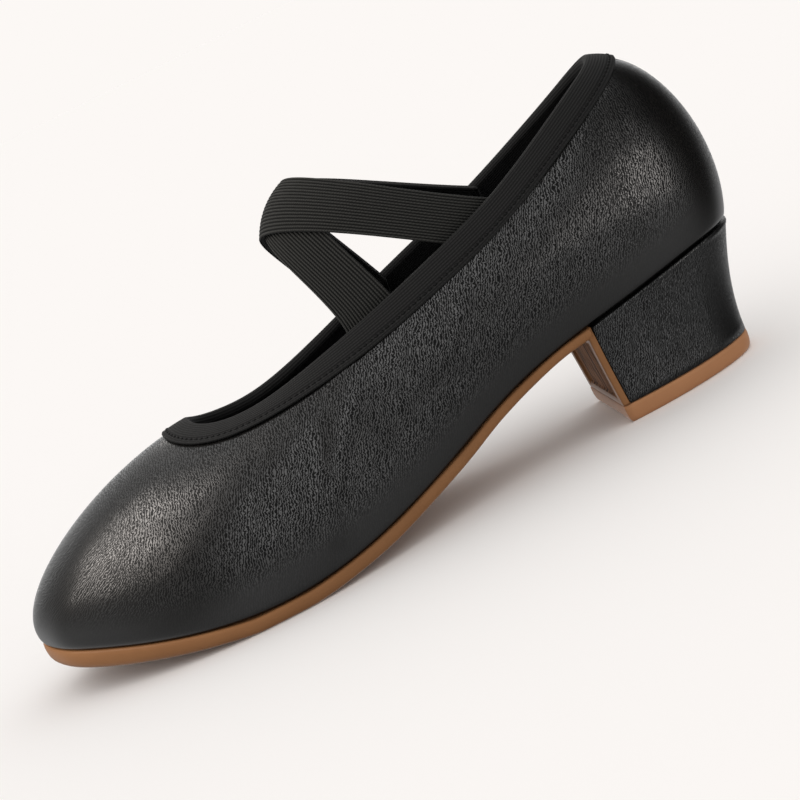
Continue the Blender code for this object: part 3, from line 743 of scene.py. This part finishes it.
STRAP_LENGTH = 136.0     # millimetres between the ends
KNIT_SPACING = 0.8       # real knots are about 0.4 mm apart, drawn coarser to show
webbing = woven_tape(
    "black ribbed elastic", "2d2d2b", "020202", STRAP_RIBS, STRAP_LENGTH / KNIT_SPACING, relief=0.10,
)
for strap_name, node, slant, lift in (
    ("elastic_strap_under", "strap_under", -1.0, 0.0),
    ("elastic_strap_over", "strap_over", 1.0, CROSSING_LIFT),
):
    strap = make_piece(strap_name, bend_grid(strap_points(slant, lift)), (webbing,), "elastic", node)
    thicken(strap, STRAP_THICKNESS - RIB_HEIGHT)

# Insole
# Thin board covered with a black cloth sock, lying on the sole and the heel seat inside the upper.
INSOLE_THICKNESS = 2.0
INSOLE_INSET = 1.8
INSOLE_COLUMNS = 120
INSOLE_ROWS = 32
INSOLE_CUP = 0.5         # its edges turn up against the lining
INSOLE_CUP_POWER = 6     # the higher, the closer to its edges


def foot_outline(place, out):
    """Sole edge of the upper in plan, moved outwards, with the direction that points out of it."""
    level = np.zeros_like(place)
    foot = wall(place, level)
    along = wall(place + PROBE, level) - wall(place - PROBE, level)
    outward = unit(np.stack((-along[..., 1], along[..., 0], level), axis=-1))
    return foot + out * outward, outward


def key_places(keys):
    """Places on the outer and on the inner side for key numbers counted from the heel back."""
    outer = np.asarray(keys) / len(KEY_RIBS)
    return outer, 1.0 - outer


def insole_points():
    keys = np.linspace(0.0, len(RIBS) - 1, INSOLE_COLUMNS + 1)
    outer, inner = (foot_outline(place, -INSOLE_INSET)[0] for place in key_places(keys))
    share = np.linspace(0.0, 1.0, INSOLE_ROWS + 1)[None, :, None]
    points = outer[:, None] * (1.0 - share) + inner[:, None] * share
    points[..., 2] = sole_heights(points[..., 0])[1] + GAP + INSOLE_THICKNESS
    points[..., 2] += INSOLE_CUP * (2.0 * share[..., 0] - 1.0) ** INSOLE_CUP_POWER
    return points[:, ::-1]


sock = lining_cloth("black sock lining", "0a0a0a", 0.7)
insole = make_piece("sock_insole", bend_grid(insole_points()), (sock,), "sock", "insole")
thicken(insole, INSOLE_THICKNESS)

# Outsole
# Brown rubber moulded in one piece, cemented to the lasted upper. It thins towards the waist and turns down
# the heel's front face as a flap with a sunk panel. A field of waves is moulded under the forefoot.
HEEL_LIP = 0.4
TOP_PIECE_HEIGHT = 5.4
BREAST_SEAT_X = -62.5
BREAST_FOOT_X = -64.4
BREAST_FLAP = 2.0
HEEL_FOOT_HALF_WIDTH = 21.0
HEEL_FLARE_POWER = 1.8
SOLE_EDGE = (
    (0.0, 0.5), (0.1, 0.15), (0.28, 0.0), (0.5, 0.02), (0.7, 0.18), (0.84, 0.5), (0.94, 0.98), (1.0, 1.6),
)
FLAP_EDGE = (
    (0.0, 0.0), (0.1, 0.0), (0.28, 0.0), (0.5, 0.0), (0.7, 0.0), (0.84, 0.05), (0.94, 0.2), (1.0, 0.5),
)
FLAP_STATIONS = 40
WAIST_STATIONS = 110
FOREFOOT_STATIONS = 300
FOREFOOT_KEY = 6.7       # where the fine stations start
UNDER_POINTS = 150
TOP_POINTS = 6
TREAD_BORDER = 5.2       # from the sole's edge to the field of waves
TREAD_REAR_X = 27.0
TREAD_REAR_BOW = 0.011   # the field's rear end bows towards the heel
GROOVE_WIDTH = 1.3
GROOVE_DEPTH = 0.9
GROOVE_FLOOR = 0.25      # half of a groove's floor as a share of its width
GROOVE_RIM = 0.6         # where it reaches the surface
WAVE_RUN_OUT = (0.2, 0.7)  # the waves fade out this near to the line round their field
WAVE_PITCH = 4.3
WAVE_LENGTH = 7.0
WAVE_SWING = 1.4
RING_X = -4.0            # plain moulded ring under the waist
RING_RADIUS = 7.5
RING_DEPTH = 0.3
FLAP_SHARE = 0.86        # the flap's share of the heel's height, below the corner under the waist
PANEL_BORDER = 4.2
PANEL_END_BORDER = 2.2
PANEL_DEPTH = 0.9
PANEL_EDGE = 0.7
PANEL_FACING = 0.5       # the panel's faces look towards the toe by at least this share


def breast_key():
    """Key number at which the sole edge reaches the heel's front face."""
    keys = np.linspace(0.0, len(RIBS) - 1, SEARCH_POINTS)
    feet = wall(key_places(keys)[0], np.zeros_like(keys))[:, 0]
    return np.interp(BREAST_SEAT_X, feet, keys)


def heel_spread(height):
    """Share of the way from the heel's foot outline to its seat outline at a height over the floor."""
    seat = sole_heights(np.array(BREAST_SEAT_X))[1]
    share = (height - TOP_PIECE_HEIGHT) / (seat - TOP_PIECE_HEIGHT)
    return np.clip(share, 0.0, 1.0) ** HEEL_FLARE_POWER


def ease(value, start, end):
    """Smooth step from 0 at start to 1 at end."""
    share = np.clip((value - start) / (end - start), 0.0, 1.0)
    return share * share * (3.0 - 2.0 * share)


def groove(distance):
    """Depth share of a moulded groove at a distance from its middle."""
    return 1.0 - ease(np.abs(distance), GROOVE_FLOOR * GROOVE_WIDTH, GROOVE_RIM * GROOVE_WIDTH)


def wave_grooves(spots, inside):
    """Depth share of the waves and of the line round their field, at distances inside that line."""
    swing = WAVE_SWING * np.sin(2.0 * np.pi * spots[..., 1] / WAVE_LENGTH)
    phase = (spots[..., 0] + swing) / WAVE_PITCH
    waves = groove((phase - np.round(phase)) * WAVE_PITCH) * ease(inside, *WAVE_RUN_OUT)
    return np.maximum(waves, groove(inside))


def close_ends(bm):
    """Weld a tube, close it at its ends and turn its faces outwards."""
    bmesh.ops.remove_doubles(bm, verts=bm.verts, dist=WELD)
    bmesh.ops.holes_fill(bm, edges=[edge for edge in bm.edges if edge.is_boundary], sides=0)
    bmesh.ops.recalc_face_normals(bm, faces=bm.faces)
    return bm


def plate_section(left, right, left_out, right_out, through, edge):
    """Closed section of the sole: outer edge down, underside across, inner edge up, top across."""
    left_side = [left + depth * through - inset * left_out for depth, inset in edge]
    right_side = [right + depth * through - inset * right_out for depth, inset in edge]
    under = np.linspace(0.0, 1.0, UNDER_POINTS + 2)[1:-1, None]
    top = np.linspace(0.0, 1.0, TOP_POINTS + 2)[1:, None]
    return np.concatenate((
        left_side,
        left_side[-1] + under * (right_side[-1] - left_side[-1]),
        right_side[::-1],
        right_side[0] + top * (left_side[0] - right_side[0]),
    ))


def flap_sections():
    """Sections of the flap, from the top piece up to the corner under the waist."""
    sideways = np.array((0.0, 1.0, 0.0))
    through = np.array((BREAST_FLAP, 0.0, 0.0))
    low = TOP_PIECE_HEIGHT + GAP
    high = sole_heights(np.array(BREAST_SEAT_X))[1]
    corners = (foot_outline(np.array(place), HEEL_LIP)[0] for place in key_places(breast_key()))
    seat_halves = [abs(corner[1]) for corner in corners]
    sections = []
    for share in np.linspace(0.0, FLAP_SHARE, FLAP_STATIONS):
        height = low + share * (high - low)
        front = BREAST_FOOT_X + share * (BREAST_SEAT_X - BREAST_FOOT_X) + GAP
        left_half, right_half = (
            HEEL_FOOT_HALF_WIDTH + heel_spread(height) * (seat_half - HEEL_FOOT_HALF_WIDTH)
            for seat_half in seat_halves
        )
        left = np.array((front, left_half, height))
        right = np.array((front, -right_half, height))
        section = plate_section(left, right, sideways, -sideways, through, FLAP_EDGE)
        face = slice(len(FLAP_EDGE), len(FLAP_EDGE) + UNDER_POINTS)
        from_edge = np.minimum(left_half - section[face, 1], right_half + section[face, 1])
        from_ends = np.minimum(height - low, FLAP_SHARE * (high - low) - (height - low))
        inside = np.minimum(from_edge, from_ends + PANEL_BORDER - PANEL_END_BORDER)
        section[face, 0] -= PANEL_DEPTH * ease(inside, PANEL_BORDER - PANEL_EDGE, PANEL_BORDER)
        sections.append(section)
    return sections


def sole_sections():
    """Sections of the sole from the heel's front face to the toe tip."""
    start = breast_key()
    waist = np.linspace(start, FOREFOOT_KEY, WAIST_STATIONS, endpoint=False)
    forefoot = np.linspace(FOREFOOT_KEY, len(RIBS) - 1, FOREFOOT_STATIONS)
    sections = []
    for number, key in enumerate(np.concatenate((waist, forefoot))):
        outer, inner = (np.array(place) for place in key_places(key))
        left, left_out = foot_outline(outer, HEEL_LIP)
        right, right_out = foot_outline(inner, HEEL_LIP)
        through = np.zeros(3)
        if number == 0:
            left[0] = right[0] = BREAST_SEAT_X + GAP
            through[0] = BREAST_FLAP
        left[2], right[2] = (sole_heights(point[0])[1] for point in (left, right))
        through[2] = sole_heights(left[0])[0] - left[2]
        sections.append(plate_section(left, right, left_out, right_out, through, SOLE_EDGE))
    return sections


def tread_depth(under):
    """Depth of the moulded waves and of the ring at points on the underside."""
    places = np.linspace(0.0, 1.0, SEARCH_POINTS)
    outline = foot_outline(places, HEEL_LIP)[0][:, :2]
    border = np.full(under.shape[:-1], np.inf)
    for corner in outline:
        border = np.minimum(border, np.linalg.norm(under[..., :2] - corner, axis=-1))
    rear = under[..., 0] - TREAD_REAR_X - TREAD_REAR_BOW * under[..., 1] ** 2
    inside = np.minimum(border - TREAD_BORDER, rear)
    ring = groove(np.hypot(under[..., 0] - RING_X, under[..., 1]) - RING_RADIUS)
    return np.maximum(GROOVE_DEPTH * wave_grooves(under, inside), RING_DEPTH * ring)


def outsole_mesh():
    flap = np.array(flap_sections())
    sole = np.array(sole_sections())
    under = slice(len(SOLE_EDGE), len(SOLE_EDGE) + UNDER_POINTS)
    sole[1:, under, 2] += tread_depth(sole[1:, under])
    bm = close_ends(bend_grid(np.concatenate((flap, sole))))
    low = (TOP_PIECE_HEIGHT + PANEL_END_BORDER) * MM
    high = (sole_heights(np.array(BREAST_SEAT_X))[0] - PANEL_END_BORDER) * MM
    half = (HEEL_FOOT_HALF_WIDTH - PANEL_BORDER) * MM
    front = (BREAST_SEAT_X + GAP + BREAST_FLAP) * MM
    for face in bm.faces:
        spot = face.calc_center_median()
        inside = low < spot.z < high and abs(spot.y) < half and spot.x < front
        face.material_index = int(inside and face.normal.x > PANEL_FACING)
    return bm


# Moulded natural rubber: warm brown, satin from the mould, a little uneven in colour and gloss
CLOUD_SIZE = 18.0        # millimetres
CLOUD_GLOSS = 0.06       # the roughness goes up and down by this
MOULD_GRAIN = 0.6        # millimetres


def moulded_rubber(name, hex_colour, dark_hex, roughness):
    finish, tree, shader = start_finish(name, {"IOR": 1.5, "Specular IOR Level": 0.06})
    place = add_node(tree, "TexCoord").outputs["Object"]
    cloud = add_node(tree, "TexNoise", sockets={"Scale": per_metre(CLOUD_SIZE), "Detail": 3.0},
                     links={"Vector": place})
    tint = add_node(tree, "Mix", {"data_type": "RGBA"},
                    {"A": linear(dark_hex), "B": linear(hex_colour)}, {"Factor": cloud.outputs["Fac"]})
    skin = add_node(tree, "TexNoise", sockets={"Scale": per_metre(MOULD_GRAIN), "Detail": 2.0},
                    links={"Vector": place})
    bump = add_node(tree, "Bump", sockets={"Strength": 0.25, "Distance": 0.1 * MM},
                    links={"Height": skin.outputs["Fac"]})
    gloss = add_node(tree, "MapRange",
                     sockets={"To Min": roughness - CLOUD_GLOSS, "To Max": roughness + CLOUD_GLOSS},
                     links={"Value": cloud.outputs["Fac"]})
    feed(shader, {"Base Color": tint, "Roughness": gloss, "Normal": bump})
    return finish


# Unpolished rubber of the sunk panel: dull, with dark lengthwise streaks that are partly painted shade of the
# recess
STREAK_DRAW = 0.12       # width of a streak as a share of its length


def streaked_rubber(name, hex_colour, streak_and_shade_hex, streak, relief):
    finish, tree, shader = start_finish(name, {"Roughness": 0.85, "Specular IOR Level": 0.15})
    place = add_node(tree, "TexCoord").outputs["Object"]
    drawn = add_node(tree, "Mapping", sockets={"Scale": (1.0, 1.0, STREAK_DRAW)}, links={"Vector": place})
    noise = add_node(tree, "TexNoise",
                     sockets={"Scale": per_metre(streak), "Detail": 3.0, "Distortion": 1.6},
                     links={"Vector": drawn})
    lines = add_node(tree, "MapRange", {"interpolation_type": "SMOOTHSTEP"},
                     {"From Min": 0.35, "From Max": 0.6}, {"Value": noise.outputs["Fac"]})
    # the dark streaks are partly real streaks and partly painted shade of the sunk panel
    tint = add_node(tree, "Mix", {"data_type": "RGBA"},
                    {"A": linear(streak_and_shade_hex), "B": linear(hex_colour)}, {"Factor": lines})
    bump = add_node(tree, "Bump", sockets={"Strength": 1.0, "Distance": relief * MM},
                    links={"Height": lines})
    feed(shader, {"Base Color": tint, "Normal": bump})
    return finish


sole_rubber = moulded_rubber("brown sole rubber", "7c583a", "68472d", roughness=0.42)
panel_rubber = streaked_rubber("brown streaked rubber", "765035", "32200f", streak=3.2, relief=0.2)
make_piece("moulded_outsole", outsole_mesh(), (sole_rubber, panel_rubber), "sole_rubber", "outsole")

# Heel block
# Moulded block covered with the same leather, turned over its upper edge in a thin roll and glued.
HEEL_BACK_FOOT_X = -109.1
HEEL_POINTS = 160
HEEL_FRONT_POINTS = 56
HEEL_ROWS = 44
HEEL_ROW_CROWDING = 0.7  # below 1 the rows crowd towards the roll
HEEL_ROLL = 0.25
HEEL_ROLL_HEIGHT = 1.3
HEEL_COVER_IN = 0.35     # the leather's upper edge is drawn in under the upper


def heel_outlines():
    """Seat outline and foot outline of the heel, from the outer front corner round the back."""
    start = breast_key()
    places = np.linspace(start, -start, HEEL_POINTS) / len(KEY_RIBS)
    seat = foot_outline(places, HEEL_LIP)[0]
    seat[0, 0] = seat[-1, 0] = BREAST_SEAT_X
    seat[:, 2] = sole_heights(seat[:, 0])[1] - GAP
    along = (seat[:, 0] - BREAST_SEAT_X) / (seat[:, 0].min() - BREAST_SEAT_X)
    foot = np.stack((
        BREAST_FOOT_X + along * (HEEL_BACK_FOOT_X - BREAST_FOOT_X),
        np.sign(seat[:, 1]) * HEEL_FOOT_HALF_WIDTH * np.sqrt(1.0 - along ** 2),
        np.full(len(seat), TOP_PIECE_HEIGHT + GAP),
    ), axis=1)
    return seat, foot


def close_front(outline):
    """Outline closed by a straight run across the heel's front face."""
    share = np.linspace(0.0, 1.0, HEEL_FRONT_POINTS)[1:, None]
    return np.concatenate((outline, outline[-1] + share * (outline[0] - outline[-1])))


def heel_block_mesh():
    seat, foot = heel_outlines()
    outward = unit((seat - seat.mean(axis=0)) * np.array((1.0, 1.0, 0.0)))
    rows = []
    for share in np.linspace(0.0, 1.0, HEEL_ROWS + 1) ** HEEL_ROW_CROWDING:
        outline = foot + (seat - foot) * share ** HEEL_FLARE_POWER
        outline[:, 2] = foot[:, 2] + (seat[:, 2] - foot[:, 2]) * share
        outline[0, 0] = outline[-1, 0] = BREAST_FOOT_X + share * (BREAST_SEAT_X - BREAST_FOOT_X)
        below = (1.0 - share) * (seat[:, 2] - foot[:, 2])
        roll = HEEL_ROLL * np.sqrt(np.clip(1.0 - (below / HEEL_ROLL_HEIGHT - 0.5) ** 2 * 4.0, 0.0, 1.0))
        drawn_in = HEEL_COVER_IN * np.exp(-below / (2.0 * HEEL_ROLL_HEIGHT))
        rows.append(close_front(outline + (roll - drawn_in)[:, None] * outward))
    cover = np.array(rows).transpose(1, 0, 2)
    return close_ends(lay_flat(bend_grid(cover), cover))


# Grained all over, because it isn't drawn tight anywhere
# its creases carry the same painted shade
heel_leather = grained_leather(
    "black heel leather", "121212", "060606", wrinkle=0.62, relief=0.006, roughness=0.24, tight=1.0,
    smooth_below=-1.0, grained_above=-0.5,
)
make_piece("covered_heel_block", heel_block_mesh(), (heel_leather,), "heel_leather", "heel_block")

# Heel top piece
# Brown rubber pressed onto the block with pins, with a rim and waves moulded on the side that stands.
TOP_PIECE_EDGE = (
    (1.0, 12.0), (1.0, 0.8), (0.96, 0.42), (0.8, 0.3), (0.6, 0.38), (0.4, 0.5), (0.22, 0.72), (0.1, 1.05),
    (0.03, 1.4), (0.0, 1.8),
)
TOP_PIECE_RIM = 4.0
TOP_PIECE_RADIAL = 80
HEEL_WAVE_DEPTH = 0.5


def top_piece_mesh():
    foot = heel_outlines()[1]
    foot[[0, -1], 0] = BREAST_FOOT_X + GAP + BREAST_FLAP
    outline = close_front(foot)
    centre = np.array((outline[:, 0].mean(), 0.0, 0.0))
    arms = (outline - centre) * np.array((1.0, 1.0, 0.0))
    reach = np.linalg.norm(arms, axis=1, keepdims=True)
    way = arms / reach
    rows = []
    for share, inset in TOP_PIECE_EDGE:
        row = centre + arms + (HEEL_LIP - inset) * way
        row[:, 2] = share * TOP_PIECE_HEIGHT
        rows.append(row)
    edge = reach + HEEL_LIP - TOP_PIECE_EDGE[-1][1]
    for share in np.linspace(0.0, 1.0, TOP_PIECE_RADIAL)[1:]:
        row = centre + (1.0 - share) * edge * way
        inside = share * edge[:, 0] - TOP_PIECE_RIM
        row[:, 2] = HEEL_WAVE_DEPTH * wave_grooves(row, inside)
        rows.append(row)
    return close_ends(bend_grid(np.array(rows).transpose(1, 0, 2)))


heel_rubber = moulded_rubber("brown heel rubber", "9c7150", "875f42", roughness=0.45)
make_piece("rubber_top_piece", top_piece_mesh(), (heel_rubber,), "heel_rubber", "heel_top_piece")

# Stage
# Pale paper floor without end in a white tent, with soft boxes that only draw the gloss on the shoe: four
# over the toe, three low beside the heel and one behind.
FLOOR_SIZE = 40.0
PAPER = "fcf8f5"
lit_pieces = bpy.data.collections.new("lit_pieces")
for shown in bpy.context.scene.objects:
    lit_pieces.objects.link(shown)
floor_finish = start_finish("pale floor paper", {
    "Base Color": linear(PAPER), "Roughness": 1.0, "Specular IOR Level": 0.0,
})[0]
floor_mesh = bmesh.new()
bmesh.ops.create_grid(floor_mesh, x_segments=1, y_segments=1, size=FLOOR_SIZE)
floor = make_object("floor", floor_mesh, (floor_finish,))
floor.visible_glossy = False

BOX_CLOTH = "fff7f0"     # the cloth before the lamps is a little warm
# Groups of soft boxes: aim in millimetres, distance from it and side in metres
OVER_TOE = ((85.0, 10.0, 35.0), 0.50, 0.22)
BESIDE_HEEL = ((-92.7, 27.0, 60.0), 0.40, 0.18)
BEHIND = ((0.0, 0.0, 50.0), 0.90, 0.45)
# Group, azimuth from the outer side towards the toe, elevation and radiance
SOFT_BOXES = (
    (OVER_TOE, 55.0, 40.0, 3.5),
    (OVER_TOE, 75.0, 40.0, 7.0),
    (OVER_TOE, 75.0, 55.0, 5.2),
    (OVER_TOE, 95.0, 55.0, 5.8),
    (BESIDE_HEEL, -45.0, -4.0, 3.9),
    (BESIDE_HEEL, -45.0, 14.0, 0.3),
    (BESIDE_HEEL, -30.0, -4.0, 1.6),
    (BEHIND, 180.0, 40.0, 1.5),
)
# What the gloss mirrors of the tent and of the paper: azimuth, elevation, cosines of the angles to a patch's
# dim rim and to its full middle, and radiance
PAPER_PATCH = (0.35, 0.70)
WIDE_PATCH = (0.60, 0.95)
SMALL_PATCH = (0.86, 0.985)
TENT_GLOSS = (
    (0.0, -90.0, PAPER_PATCH, 0.55),
    (100.0, -25.0, WIDE_PATCH, 1.10),
    (-160.0, -20.0, WIDE_PATCH, 0.75),
    (135.0, 20.0, WIDE_PATCH, 0.45),
    (180.0, 20.0, WIDE_PATCH, 0.60),
    (0.0, 85.0, WIDE_PATCH, 1.70),
    (-60.0, 45.0, SMALL_PATCH, 0.40),
    (-40.0, -35.0, SMALL_PATCH, 0.80),
    (-40.0, -15.0, SMALL_PATCH, 1.00),
    (-40.0, 5.0, SMALL_PATCH, 1.40),
    (-40.0, 45.0, SMALL_PATCH, 0.25),
    (-20.0, 45.0, SMALL_PATCH, 0.15),
    (0.0, -15.0, SMALL_PATCH, 1.20),
    (0.0, 5.0, SMALL_PATCH, 0.15),
    (0.0, 25.0, SMALL_PATCH, 1.95),
    (0.0, 45.0, SMALL_PATCH, 0.60),
    (20.0, -35.0, SMALL_PATCH, 0.45),
    (20.0, -15.0, SMALL_PATCH, 0.45),
    (20.0, 25.0, SMALL_PATCH, 0.60),
    (40.0, -35.0, SMALL_PATCH, 0.42),
    (60.0, 5.0, SMALL_PATCH, 1.10),
)


def direction(azimuth, elevation):
    """Direction in degrees from the outer side towards the toe, and above the floor."""
    turn, rise = np.radians((azimuth, elevation))
    return np.array((np.sin(turn) * np.cos(rise), np.cos(turn) * np.cos(rise), np.sin(rise)))


def standing(right, up, back, spot):
    """Matrix of a light or camera that looks against back, with its right and up directions."""
    matrix = Matrix(np.column_stack((right, up, back))).to_4x4()
    matrix.translation = spot
    return matrix


for number, ((aim, distance, side), azimuth, elevation, radiance) in enumerate(SOFT_BOXES):
    soft_light = bpy.data.lights.new(f"soft_box_{number}", "AREA")
    soft_light.size = side
    soft_light.color = linear(BOX_CLOTH)[:3]
    soft_light.energy = radiance * np.pi * side ** 2
    lamp = bpy.data.objects.new(soft_light.name, soft_light)
    back = direction(azimuth, elevation)
    right = unit(np.cross((0.0, 0.0, 1.0), back))
    spot = np.array(aim) * MM + distance * back
    lamp.matrix_world = standing(right, np.cross(back, right), back, spot)
    lamp.light_linking.receiver_collection = lit_pieces
    bpy.context.scene.collection.objects.link(lamp)

world = bpy.data.worlds.new("white_tent")
world.use_nodes = True
bpy.context.scene.world = world
sky = world.node_tree
way = add_node(sky, "TexCoord").outputs["Generated"]
ray = add_node(sky, "LightPath")
gloss = None
for azimuth, elevation, (rim, full), radiance in TENT_GLOSS:
    facing = add_node(sky, "VectorMath", {"operation": "DOT_PRODUCT"},
                      {1: direction(azimuth, elevation)}, {0: way})
    part = add_node(sky, "MapRange", {"interpolation_type": "SMOOTHSTEP"},
                    {"From Min": rim, "From Max": full, "To Max": radiance},
                    {"Value": facing})
    gloss = part if gloss is None else add_node(sky, "Math", links={0: gloss, 1: part})
mirrored = add_node(sky, "Mix", {"data_type": "RGBA"}, {"A": (1.0, 1.0, 1.0, 1.0)},
                    {"Factor": ray.outputs["Is Glossy Ray"], "B": gloss})
seen = add_node(sky, "Mix", {"data_type": "RGBA"}, {"B": linear(PAPER)},
                {"Factor": ray.outputs["Is Camera Ray"], "A": mirrored})
feed(sky.nodes["Background"], {"Color": seen})
bpy.context.scene.view_settings.view_transform = "Standard"

# Camera
# It keeps its angle to the shoe: from the outer side, a little towards the toe and above the floor, rolled
# so that the toe points down to the left.
CAMERA_AIM = np.array((-6.03, -0.6, 33.3)) * MM
CAMERA_DISTANCE = 0.6
CAMERA_AZIMUTH = 3.7
CAMERA_ELEVATION = 11.6
CAMERA_ROLL = np.radians(-26.2)
CAMERA_LENS = 90.8
back = direction(CAMERA_AZIMUTH, CAMERA_ELEVATION)
level_right = unit(np.cross(-back, (0.0, 0.0, 1.0)))
level_up = np.cross(level_right, -back)
right = np.cos(CAMERA_ROLL) * level_right + np.sin(CAMERA_ROLL) * level_up
up = -np.sin(CAMERA_ROLL) * level_right + np.cos(CAMERA_ROLL) * level_up
camera_data = bpy.data.cameras.new("camera")
camera_data.lens = CAMERA_LENS
camera_data.sensor_width = 36.0
camera_data.clip_start = 0.01
camera = bpy.data.objects.new("camera", camera_data)
camera.matrix_world = standing(right, up, back, CAMERA_AIM + CAMERA_DISTANCE * back)
bpy.context.scene.collection.objects.link(camera)
bpy.context.scene.camera = camera
